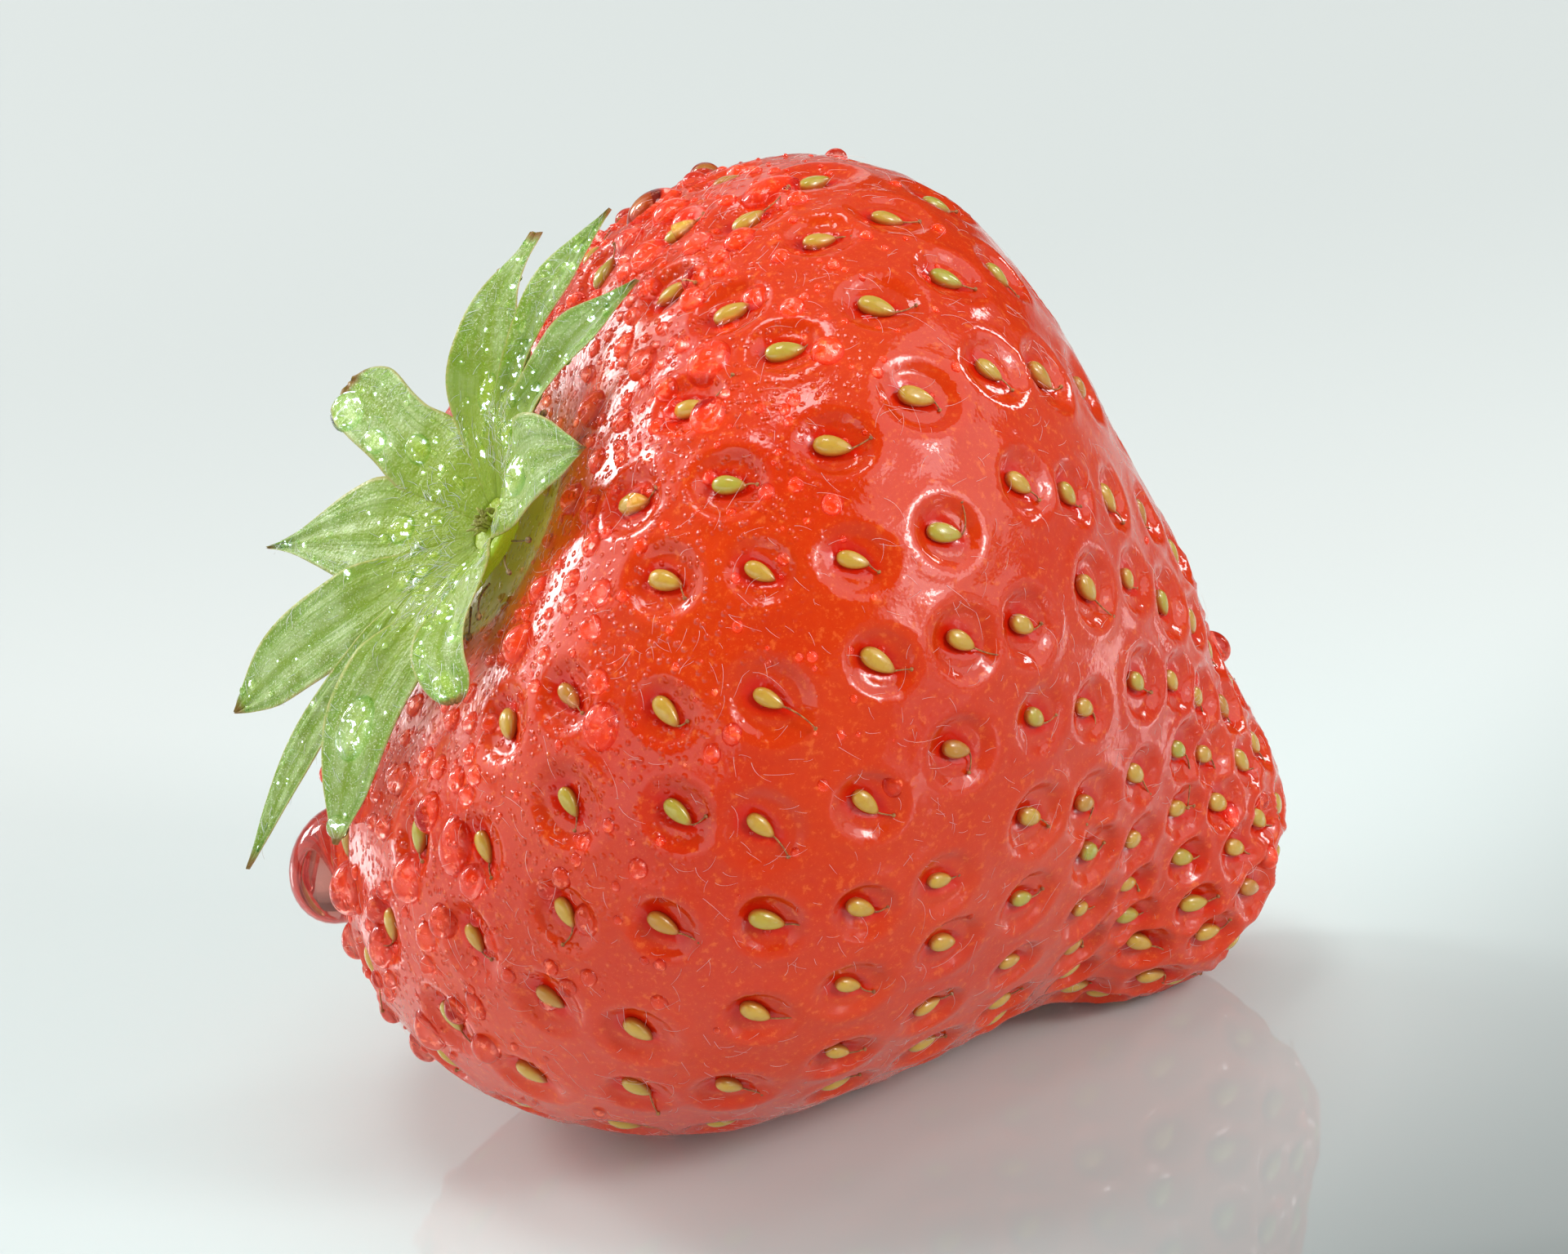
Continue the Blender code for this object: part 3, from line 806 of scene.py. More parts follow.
# ------------------------------------------------------------------------------------------ flesh
@dataclass
class Flesh:
    """The red receptacle: a fine skin with a pit and a soft raised rim at every achene."""

    shape: FruitShape
    seeds: SeedSpiral
    sides: int = 352
    fewest_sides: int = 26
    cell: float = 0.312
    fine_within: float = 1.48
    pit_reach: float = 3.2
    hole_length: float = 0.82
    hole_width: float = 0.47
    hole_depth: float = 0.13
    bowl_depth: float = 0.25
    bowl_floor: float = 0.88
    bowl_reach: float = 1.38
    bowl_stretch: float = 1.12
    crest_height: float = 0.070
    crest_at: float = 1.52
    crest_width: float = 0.26
    collar_levels: Span = (31.0, 33.6)
    collar_radii: Span = (3.8, 6.4)
    mist_levels: Span = (26.5, 32.5)

    def rings(self) -> list[Array]:
        """Rings of the smooth skin from the tip to the calyx end, with fewer sides where they are short."""
        dense = np.linspace(0.0, 1.0, 4001)
        line = self.shape.skin(90.0, dense)
        length = np.concatenate([[0.0], np.cumsum(np.linalg.norm(np.diff(line, axis=0), axis=1))])
        count = int(length[-1] / self.cell)
        rings = []
        for level in range(1, count):
            t = float(np.interp(level * length[-1] / count, length, dense))
            around = 2 * math.pi * np.linalg.norm(self.shape.skin(90.0, t)[:2])
            sides = self.sides
            while sides > self.fewest_sides and around / (sides // 2) < 1.25 * self.cell:
                sides //= 2
            rings.append(self.shape.skin(np.arange(sides) * 360.0 / sides, t))
        return rings

    def grid(self) -> bpy.types.Mesh:
        """The smooth skin as a closed mesh in the fruit frame, in mm."""
        rings = self.rings()
        starts = np.cumsum([1] + [len(r) for r in rings])
        points = np.concatenate([self.shape.skin([0.0], [0.0]), *rings, self.shape.skin([0.0], [1.0])])
        first, last = len(rings[0]), len(rings[-1])
        faces: Faces = [(0, 1 + (i + 1) % first, 1 + i) for i in range(first)]
        for low, high, a, b in zip(rings, rings[1:], starts, starts[1:]):
            n, m = len(low), len(high)
            for i in range(min(n, m)):
                j, k = 2 * i, (i + 1) % min(n, m)
                if n == m:
                    faces.append((a + i, a + k, b + k, b + i))
                elif m == 2 * n:
                    after = b + (j + 2) % m
                    faces += [(a + i, b + j + 1, b + j), (a + i, a + k, b + j + 1), (a + k, after, b + j + 1)]
                else:
                    after = a + (j + 2) % n
                    faces += [(a + j, a + j + 1, b + i), (a + j + 1, b + k, b + i), (a + j + 1, after, b + k)]
        faces += [(starts[-1], starts[-2] + i, starts[-2] + (i + 1) % last) for i in range(last)]
        mesh = bpy.data.meshes.new("flesh")
        mesh.from_pydata(points, [], faces)
        return mesh

    def refine(self, mesh: bpy.types.Mesh, middles: Array) -> None:
        """Halve the cells near the achenes."""
        near = nearest(read(mesh, "co"), middles) < self.fine_within
        work = bmesh.new()
        work.from_mesh(mesh)
        work.verts.ensure_lookup_table()
        chosen = [e for e in work.edges if near[e.verts[0].index] and near[e.verts[1].index]]
        bmesh.ops.subdivide_edges(work, edges=chosen, cuts=1, use_grid_fill=True)
        bmesh.ops.triangulate(work, faces=[f for f in work.faces if len(f.verts) > 4])
        bmesh.ops.recalc_face_normals(work, faces=work.faces)
        work.to_mesh(mesh)
        work.free()

    def relief(self, points: Array) -> tuple[Array, Array]:
        """Height of the pits and rims over the smooth skin, and how deep in a pit each point is."""
        middle, normal, tipward = self.shape.frames(*self.seeds.places())
        side = np.cross(normal, tipward)
        draw = np.random.default_rng(5)
        size = draw.uniform(0.88, 1.12, len(middle)) * (0.80 + 0.20 * smooth(4.0, 16.0, middle[:, 2]))
        strength = draw.uniform(0.75, 1.3, len(middle))
        height = np.zeros(len(points))
        painted_pit_shade = np.zeros(len(points))
        for i in range(len(middle)):
            offset = points - middle[i]
            near = np.flatnonzero((offset**2).sum(1) < self.pit_reach**2)
            offset = offset[near]
            x, y = offset @ tipward[i], offset @ side[i]
            reach = np.hypot(x / self.bowl_stretch - 0.06, y) / size[i]
            taper = 1.0 - 0.28 * np.clip(x / 0.75, -1.0, 1.0)
            snug = np.hypot(x / self.hole_length, y / (self.hole_width * taper))
            hole = 1 - smooth(0.85, 1.25, snug)
            bowl = 1 - smooth(self.bowl_floor, self.bowl_reach, reach)
            crest = np.exp(-(((reach - self.crest_at) / self.crest_width) ** 2))
            form = self.crest_height * crest - self.bowl_depth * bowl
            height[near] += strength[i] * form - self.hole_depth * hole
            painted_pit_shade[near] = np.maximum(painted_pit_shade[near], 1 - smooth(0.90, 1.60, snug))
        return height, painted_pit_shade

    def build(self) -> Piece:
        """Build the piece."""
        mesh = self.grid()
        self.refine(mesh, self.shape.skin(*self.seeds.places()))
        points = read(mesh, "co")
        height, painted_pit_shade = self.relief(points)
        reach = self.shape.from_axis(points)
        collar = smooth(*self.collar_levels, points[:, 2]) * (1 - smooth(*self.collar_radii, reach))
        points = points + read(mesh, "normal") * height[:, None]
        mesh.vertices.foreach_set("co", self.shape.world(points).astype(np.float32).ravel())
        # how deep in a pit, which sets the painted shade in the pits
        store(mesh, "pit", painted_pit_shade)
        store(mesh, "collar", collar)
        store(mesh, "mist", smooth(*self.mist_levels, points[:, 2]))
        mesh.update()
        piece = dressed(mesh, FleshSkin().material())
        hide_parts("receptacle")
        return piece


# ------------------------------------------------------------------------------------------ achenes and hairs
@dataclass
class Achenes:
    """The seed-like fruits, each in its pit, with the thin dry style that it keeps."""

    shape: FruitShape
    seeds: SeedSpiral
    length: float = 1.32
    width: float = 0.69
    depth: float = 0.62
    sink: float = 0.275
    sides: int = 14
    rings: int = 12
    style_radius: float = 0.030
    knob_radius: float = 0.085
    clearance: float = 0.05

    def form(self) -> tuple[Array, Faces, Array, Array]:
        """One achene about the origin, pointed end at +X.

        Returns:
            Points in mm, faces, how near each point is to the pointed end and how near to the foot, 0 to 1.
        """
        half = 0.5 * self.length
        angle = np.pi * np.arange(1, self.rings) / self.rings
        ahead = -np.cos(angle)
        girth = np.sin(angle) ** 0.85 * (1.0 - 0.26 * ahead - 0.14 * ahead**2)
        turn = 2 * np.pi * np.arange(self.sides) / self.sides
        y = 0.5 * self.width * girth[:, None] * np.cos(turn)
        z = 0.5 * self.depth * girth[:, None] * np.sin(turn) * (1.0 + 0.10 * np.cos(2 * turn))
        x = np.repeat(half * ahead[:, None], self.sides, axis=1)
        body = np.stack([x, y, z], axis=-1).reshape(-1, 3)
        points = np.concatenate([[[-half, 0, 0]], body, [[0.53 * self.length, 0, -0.02]]])
        ends = smooth(0.55, 1.0, points[:, 0] / half)
        foot = 1 - smooth(0.10, 0.42, (points[:, 2] - 0.02) / (0.5 * self.depth))
        return points, ring_faces(self.rings - 1, self.sides), ends, foot

    def style(self, draw: Chance, start: Array, ahead: Array, normal: Array,
              side: Array) -> list[Solid]:
        """The curved style of one achene and its knob.

        Args:
            draw: the source of chance.
            start: where it leaves the achene.
            ahead: direction to the fruit's tip.
            normal: direction out of the skin.
            side: direction across.

        Returns:
            Points and faces of the style and of its knob.
        """
        length = draw.uniform(0.30, 0.75) if draw.random() < 0.75 else draw.uniform(0.75, 1.4)
        swing = draw.normal(0.0, 0.55)
        lift = draw.uniform(0.05, 0.35)
        bend = draw.normal(0.0, 0.55)
        s = np.linspace(0.0, 1.0, 9)[:, None]
        heading = unit(ahead + side * swing)
        across = np.cross(normal, heading)
        path = start + length * (heading * s + across * bend * s**2 + normal * lift * (s - 0.45 * s**2))
        radii = self.style_radius * (1.15 - 0.4 * s[:, 0])
        return [tube(path, radii, 6), knob(path, 0.8 * self.knob_radius, self.knob_radius, 7)]

    def build(self) -> list[Piece]:
        """Build the achenes and their styles."""
        middle, normal, tipward = self.shape.frames(*self.seeds.places())
        side = np.cross(normal, tipward)
        form, faces, ends, foot = self.form()
        draw = np.random.default_rng(23)
        seeds, styles = Batch("achenes"), Batch("styles")
        for i in range(len(middle)):
            size = draw.uniform(0.86, 1.08)
            roll, pitch = draw.normal(0.0, 0.14), draw.normal(0.0, 0.05)
            ahead = unit(tipward[i] + side[i] * roll + normal[i] * pitch)
            out = unit(normal[i] - ahead * (normal[i] @ ahead))
            across = np.cross(out, ahead)
            place = middle[i] - normal[i] * self.sink
            body = place + size * form @ np.stack([ahead, across, out])
            if self.shape.world(body)[:, 2].min() < self.clearance * MM:
                continue
            # the foot share sets the painted shade at the achene's foot
            seeds.add(body, faces, tone=draw.random(), shade=ends, girdle=foot)
            if draw.random() < 0.86:
                start = place + ahead * (0.47 * self.length * size) + out * 0.02
                for part in self.style(draw, start, ahead, out, across):
                    styles.add(*part)
        fibre = DryFibre("dry_style", (0.26, 0.07, 0.02), (0.52, 0.26, 0.07))
        pieces = [seeds.build(self.shape, SeedCoat().material()), styles.build(self.shape, fibre.material())]
        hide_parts(*[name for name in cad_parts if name.startswith("achene_")])
        return pieces


@dataclass
class FleshHairs:
    """Fine curly hairs over the flesh, fewer at the tip and none over the pits."""

    shape: FruitShape
    seeds: SeedSpiral
    count: int = 4600
    radius: float = 0.0060
    tip_height: float = 3.0
    tip_share: float = 0.55
    pit_radius: float = 0.85
    clearance: float = 0.1

    def build(self) -> Piece:
        """Build the piece."""
        draw = np.random.default_rng(77)
        pits = self.shape.skin(*self.seeds.places())
        tries = self.count * 4
        clocks = draw.uniform(0.0, 360.0, tries)
        ts = draw.uniform(0.03, 0.93, tries)
        point, normal, tipward = self.shape.frames(clocks, ts)
        around = np.hypot(point[:, 0], point[:, 1]) / self.shape.broadest
        spread = np.where(point[:, 2] < self.tip_height, self.tip_share, 1.0)
        keep = (draw.random(tries) < around * spread) & (nearest(point, pits) > self.pit_radius)
        batch = Batch("flesh_hairs")
        for i in np.flatnonzero(keep)[: self.count]:
            turn = draw.normal(0.0, 1.1)
            side = np.cross(normal[i], tipward[i])
            heading = tipward[i] * math.cos(turn) + side * math.sin(turn)
            length = draw.uniform(0.25, 0.75) if draw.random() < 0.85 else draw.uniform(0.7, 1.3)
            lift, bend = draw.uniform(0.15, 0.6), draw.normal(0.0, 0.45)
            path = curl(draw, point[i] - normal[i] * 0.03, heading, normal[i], length, lift, bend)
            points, faces = tube(path, self.radius * np.linspace(1.1, 0.45, len(path)), 3)
            if self.shape.world(points)[:, 2].min() > self.clearance * MM:
                batch.add(points, faces)
        return batch.build(self.shape, Hair("flesh_hair").material())


# ------------------------------------------------------------------------------------------ calyx
class TipForm(Enum):
    """How a leaf of the calyx ends."""

    POINTED = "pointed"
    ROUND = "round"


@dataclass
class Leaf:
    """One sepal or bractlet, from its middle line (distance, height) and its outline (distance, half width)."""

    shape: FruitShape
    name: str
    clock: float
    drift: float
    spine: Table
    outline: Table
    sector: Span
    cupping: float
    twist: float
    fold: float = 0.1
    tip: TipForm = TipForm.POINTED
    edge_wave: float = 0.06
    crumple: float = 0.06
    crease: float = 0.16
    twist_span: Span = (0.15, 0.62)
    round_from: float = 0.90
    round_length: float = 0.105
    stations: int = 72
    ribs: int = 24
    thickness: float = 0.22
    spine_root: Table = ((1.0, 34.30), (2.2, 34.8), (3.4, 35.3))
    outline_root: Table = ((0.0, 0.4), (2.5, 1.0))
    funnel: Table = (
        (0.0, 34.3), (0.8, 34.34), (1.6, 34.55), (2.4, 34.9), (3.2, 35.28), (4.0, 35.52), (4.8, 35.62),
        (7.0, 35.7))
    bound_radii: Span = (3.0, 6.2)
    hub_radii: Span = (3.0, 7.8)

    def frame_at(self, u: Array) -> tuple[Array, Array, Array, Array, Array]:
        """The blade's middle line.

        Args:
            u: place from root to tip.

        Returns:
            Points of the middle line, directions across and up, half widths and distances from the axis.
        """
        radius, height = Curve((*self.spine_root, *self.spine)).at(u).T
        line = Curve((*self.outline_root, *self.outline)).at(np.linspace(0, 1, 240))
        half = np.interp(radius, line[:, 0], line[:, 1])
        if self.tip is TipForm.ROUND:
            over = np.clip((u - self.round_from) / self.round_length, 0, 1)
            half = half * np.sqrt(np.clip(1 - over**2, 0.002, 1))
        angle = np.radians(self.clock + self.drift * u**2)
        turn = (math.radians(self.twist) * smooth(*self.twist_span, u))[:, None]
        sideways = np.stack([np.cos(angle), -np.sin(angle), np.zeros_like(angle)], axis=-1)
        across = sideways * np.cos(turn) + UP * np.sin(turn)
        upward = UP * np.cos(turn) - sideways * np.sin(turn)
        middle = self.shape.about_axis(radius, angle, height)
        ahead = unit(np.gradient(middle, axis=0))
        upward = unit(upward - ahead * (upward * ahead).sum(-1, keepdims=True))
        return middle, across, upward, half, radius

    def blade(self, u: Array, v: Array, side: float) -> Array:
        """Points of one face of the blade, which runs into the funnel of the cup at its root.

        Args:
            u: places from root to tip, one a row.
            v: places across, -1 to 1.
            side: 1 for the upper face, -1 for the lower.

        Returns:
            Points in an array of len(u) by len(v).
        """
        middle, across, upward, half, radius = self.frame_at(u)
        phase = self.clock * 0.7
        uu, vv = u[:, None], v[None, :]
        rim = np.abs(vv) ** 3
        wave = np.sin(13 * uu + 4 * np.sign(vv) + phase) + 0.6 * np.sin(29 * uu + phase * 1.7)
        cup = self.cupping * np.sin(np.pi * np.minimum(uu + 0.1, 1.0)) * vv**2
        keel = self.fold * (np.abs(vv) - 0.25) * np.sin(np.pi * np.clip(uu * 1.1 - 0.15, 0, 1))
        ribs = 0.030 * np.cos(9.5 * vv * (1 + 0.3 * np.sin(3 * uu))) * (1 - rim)
        crumple = np.sin(7 * uu + 3.1 * vv + phase) * np.sin(5.3 * vv - 2 * uu + phase) * (1 - 0.5 * rim)
        lift = cup + keel + self.edge_wave * rim * wave + (ribs + self.crumple * crumple) * smooth(0.1, 0.4, uu)
        thick = 0.5 * self.thickness * (1 - 0.72 * vv**4) * (1 - 0.3 * uu)
        reach = half[:, None] * vv * (1 + 0.02 * np.sin(23 * uu + phase))
        rise = (lift + side * thick)[..., None]
        free = middle[:, None] + across[:, None] * reach[..., None] + upward[:, None] * rise
        spread = np.radians(np.where(vv < 0, self.sector[0], self.sector[1]) * vv + self.clock)
        radius = radius[:, None]
        line = Curve(self.funnel).at(np.linspace(0, 1, 240))
        level = np.interp(radius, line[:, 0], line[:, 1]) - 0.10 * (1 - smooth(1.0, 1.8, radius))
        level = level - self.crease * vv**6 * smooth(1.8, 4.5, radius)
        bound = self.shape.about_axis(radius, spread, level + side * thick)
        share = (1 - smooth(*self.bound_radii, radius))[..., None]
        return bound * share + free * (1 - share)

    def build(self) -> Piece:
        """Build the piece."""
        u = np.linspace(0.0, 1.0, self.stations) ** 0.92
        v = np.linspace(-1.0, 1.0, self.ribs)
        rings = np.concatenate([self.blade(u, v, 1.0), self.blade(u, v[::-1], -1.0)], axis=1)
        points = np.concatenate([rings[0].mean(0)[None], rings.reshape(-1, 3), rings[-1].mean(0)[None]])
        across = np.concatenate([v, v[::-1]])
        where = np.stack(np.broadcast_arrays(u[:, None], across[None, :]), axis=-1).reshape(-1, 2)
        where = np.concatenate([[[0.0, 0.0]], where, [[1.0, 0.0]]])
        hub = 1 - smooth(*self.hub_radii, self.shape.from_axis(points))
        batch = Batch("leaf_" + self.name)
        batch.add(points, ring_faces(self.stations, 2 * self.ribs), blade=np.column_stack([where, hub]))
        piece = batch.build(self.shape, LeafBlade("leaf_" + self.name).material())
        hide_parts(self.name)
        return piece

    def spot(self, u: float, v: float) -> tuple[Array, Array]:
        """A place on the upper face and the direction out of it."""
        us = np.array([max(u - 0.02, 0.0), u, min(u + 0.02, 1.0)])
        patch = self.blade(us, np.array([v - 0.05, v, v + 0.05]), 1.0)
        normal = unit(np.cross(patch[1, 2] - patch[1, 0], patch[2, 1] - patch[0, 1]))
        up = self.frame_at(us)[2][1]
        return patch[1, 1], normal if normal @ up > 0 else -normal

    def along(self, u: float, v: float) -> Array:
        """The direction along the upper face to the tip."""
        return unit(self.spot(min(u + 0.03, 1.0), v)[0] - self.spot(max(u - 0.03, 0.0), v)[0])


@dataclass
class Calyx:
    """The green crown: cup, scar of the stalk, leaves, their hairs and the dry stamens under them."""

    shape: FruitShape
    section: Table = (
        (0.3, 34.24), (0.8, 34.27), (1.6, 34.48), (2.4, 34.82), (3.2, 35.18), (3.7, 35.34), (4.0, 35.24),
        (3.5, 34.7), (2.5, 34.2), (1.4, 33.85), (0.4, 33.8))
    cup_sides: int = 120
    fibres: int = 22
    hairs_a_leaf: int = 130

    def leaves(self) -> list[Leaf]:
        """The ten leaves, sepals and bractlets in turn."""
        s, rounded = self.shape, TipForm.ROUND
        return [
            Leaf(s, "sepal_1", 329, 2, ((4.5, 35.6), (8.0, 36.1), (11.2, 35.3)),
                 ((4.5, 1.7), (6.0, 1.38), (7.5, 1.08), (9.0, 0.66), (10.2, 0.34), (11.2, 0.26)),
                 (27, 13), 0.3, -40, 0.25),
            Leaf(s, "bractlet_1", 354, 3, ((4.5, 35.5), (8.4, 35.8), (12.2, 34.9)),
                 ((4.2, 0.72), (5.6, 0.50), (7.4, 0.60), (9.2, 0.72), (11.0, 0.34), (12.2, 0.04)),
                 (13, 13), 0.3, -38, 0.3),
            Leaf(s, "bractlet_2", 18, 4, ((4.5, 35.4), (8.0, 35.5), (11.6, 34.7)),
                 ((4.2, 0.85), (5.6, 0.62), (7.2, 0.74), (8.8, 0.80), (10.4, 0.34), (11.6, 0.04)),
                 (13, 19), 0.35, -32, 0.5),
            Leaf(s, "sepal_2", 53, 4, ((4.5, 35.4), (7.0, 35.9), (9.2, 35.2)),
                 ((4.2, 1.35), (5.4, 1.60), (6.6, 1.62), (7.8, 1.15), (8.7, 0.45), (9.2, 0.05)),
                 (19, 36), 0.45, -24),
            Leaf(s, "sepal_3", 128, -2, ((4.5, 35.5), (6.8, 36.0), (8.9, 35.4)),
                 ((4.2, 1.15), (5.4, 1.10), (6.6, 1.10), (7.6, 1.02), (8.9, 0.85)),
                 (40, 19), 0.45, 28, tip=rounded),
            Leaf(s, "sepal_4", 163, 8, ((4.5, 35.6), (8.6, 36.2), (12.8, 35.3)),
                 ((4.5, 1.55), (6.5, 1.60), (8.5, 1.50), (10.4, 1.15), (11.8, 0.70), (12.8, 0.35)),
                 (19, 15), 0.3, 34, tip=rounded),
            Leaf(s, "bractlet_3", 190, 2, ((4.5, 35.6), (10.2, 36.4), (16.2, 36.0)),
                 ((4.5, 0.8), (8.0, 0.75), (11.0, 0.75), (13.5, 0.50), (15.2, 0.22), (16.2, 0.04)),
                 (15, 13), 0.12, 28),
            Leaf(s, "sepal_5", 213, 2, ((4.5, 35.7), (9.3, 36.9), (14.0, 37.3)),
                 ((4.5, 1.45), (6.8, 1.55), (9.2, 1.55), (11.4, 1.20), (13.1, 0.52), (14.0, 0.05)),
                 (13, 16), 0.3, 28, 0.15),
            Leaf(s, "bractlet_4", 242, 0, ((4.5, 35.8), (8.4, 37.0), (12.1, 37.9)),
                 ((4.5, 2.1), (5.8, 2.15), (7.3, 1.70), (8.8, 1.05), (10.2, 0.48), (11.3, 0.18),
                  (12.1, 0.04)), (16, 19), 0.25, 8),
            Leaf(s, "bractlet_5", 278, 0, ((4.5, 35.8), (7.4, 36.9), (10.1, 37.9)),
                 ((4.5, 1.55), (6.5, 1.50), (8.5, 1.50), (9.5, 1.40), (10.1, 1.30)),
                 (19, 27), 0.25, -12, 0.0, rounded),
        ]

    def cup(self) -> Piece:
        """The funnel that the leaves grow from, whose shaded middle is lit by painted light that it emits."""
        angle = np.arange(self.cup_sides) * 2 * np.pi / self.cup_sides
        ridges = 0.015 * np.sin(37 * angle)
        rings = [self.shape.lobed(radius, angle, height + ridges * smooth(0.5, 2.0, radius))
                 for radius, height in Curve(self.section).at(np.linspace(0, 1, 48))]
        top, foot = (self.shape.about_axis(0.0, 0.0, self.section[i][1]) for i in (0, -1))
        points = np.concatenate([[top], *rings, [foot]])
        turn = np.concatenate([[0.0], np.tile(angle / np.pi - 1, len(rings)), [0.0]])
        reach = self.shape.from_axis(points)
        batch = Batch("cup")
        batch.add(points, ring_faces(len(rings), self.cup_sides),
                  blade=np.column_stack([0.12 * reach, turn, 1 - smooth(3.4, 7.0, reach)]))
        # painted light emitted at the cup's root, against the shade under the leaves
        skin = LeafBlade("cup_skin", (0.36, 0.52, 0.04), (0.44, 0.60, 0.08), painted_glow=(0.10, 0.13, 0.005))
        piece = batch.build(self.shape, skin.material())
        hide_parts("calyx_cup")
        return piece

    def scar(self) -> Piece:
        """The frayed brown remains of the stalk in the bottom of the cup."""
        draw = np.random.default_rng(3)
        batch = Batch("stalk_scar")
        base = self.shape.about_axis(0.0, 0.0, 34.5)
        s = np.linspace(0, 1, 6)[:, None]
        taper = np.array([1.0, 0.95, 0.9, 0.8, 0.6, 0.3])
        for _ in range(self.fibres):
            turn = draw.uniform(0, 2 * np.pi)
            reach = draw.uniform(0.05, 0.48)
            root = base + np.array([reach * math.sin(turn), reach * math.cos(turn), -0.15])
            lean = np.array([math.sin(turn), math.cos(turn), 0.0]) * draw.uniform(-0.2, 0.5)
            path = root + (UP * draw.uniform(0.2, 0.5) * s + lean * s**2)
            batch.add(*tube(path, draw.uniform(0.07, 0.14) * taper, 7))
        fibre = DryFibre("scar_fibre", (0.22, 0.20, 0.03), (0.44, 0.46, 0.09))
        piece = batch.build(self.shape, fibre.material())
        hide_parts("stem_scar")
        return piece

    def stamens(self) -> Piece:
        """Dried filaments and dark anthers between the calyx and the flesh."""
        draw = np.random.default_rng(12)
        batch = Batch("dry_stamens")
        s = np.linspace(0, 1, 8)[:, None]
        for i in range(self.fibres):
            turn = np.radians(360 * (i + draw.uniform(-0.3, 0.3)) / self.fibres)
            reach = draw.uniform(4.9, 5.8)
            root = self.shape.about_axis(3.9, turn, 34.7)
            tip = self.shape.about_axis(reach, turn + draw.normal(0, 0.12), draw.uniform(34.6, 35.3))
            path = root + (tip - root) * s + UP * 0.35 * np.sin(np.pi * s) * draw.uniform(-0.3, 1.0)
            batch.add(*tube(path, np.linspace(0.045, 0.03, 8), 6))
            batch.add(*knob(path, 0.18, draw.uniform(0.09, 0.14), 8))
        fibre = DryFibre("dry_stamen", (0.10, 0.05, 0.02), (0.42, 0.26, 0.08))
        return batch.build(self.shape, fibre.material())

    def hairs(self, leaves: list[Leaf]) -> Piece:
        """Fine white hairs on the leaves and along their edges."""
        draw = np.random.default_rng(41)
        batch = Batch("leaf_hairs")
        for leaf in leaves:
            for _ in range(self.hairs_a_leaf):
                u = draw.uniform(0.12, 0.97)
                at_edge = draw.random() < 0.45
                if at_edge:
                    v = draw.choice([-1.0, 1.0]) * draw.uniform(0.93, 0.99)
                else:
                    v = draw.uniform(-0.85, 0.85)
                point, normal = leaf.spot(u, v)
                ahead = leaf.along(u, v)
                side = np.cross(normal, ahead)
                if at_edge:
                    side = side * np.sign(v)
                    heading = unit(ahead * draw.uniform(0.2, 1.0) + side * draw.uniform(0.4, 1.0))
                    lift = draw.uniform(0.0, 0.4)
                else:
                    heading = unit(ahead + side * draw.normal(0.0, 0.35))
                    lift = draw.uniform(0.05, 0.3)
                length, bend = draw.uniform(0.3, 0.8), draw.normal(0.0, 0.2)
                path = curl(draw, point - normal * 0.03, heading, normal, length, lift, bend, 5)
                batch.add(*tube(path, 0.012 * np.linspace(1.1, 0.4, 5), 3))
        return batch.build(self.shape, Hair("leaf_hair", (0.90, 0.93, 0.86)).material())

    def build(self) -> tuple[list[Piece], list[Leaf]]:
        """Build the calyx: its pieces, and its leaves for the drops that lie on them."""
        leaves = self.leaves()
        pieces = [self.cup(), self.scar(), self.stamens()]
        pieces += [*(leaf.build() for leaf in leaves), self.hairs(leaves)]
        return pieces, leaves


# ------------------------------------------------------------------------------------------ water
class Drop(NamedTuple):
    """A drop on the flesh: its radius is in mm, tall is height over radius, stretch is length over width."""

    clock: float
    t: float
    radius: float
    tall: float
    stretch: float


def chance_radius(draw: Chance, typical: float, spread: float, least: float, most: float) -> float:
    """A radius in mm drawn about e to the power typical, kept between the least and the most."""
    return float(np.clip(draw.lognormal(typical, spread), least, most))


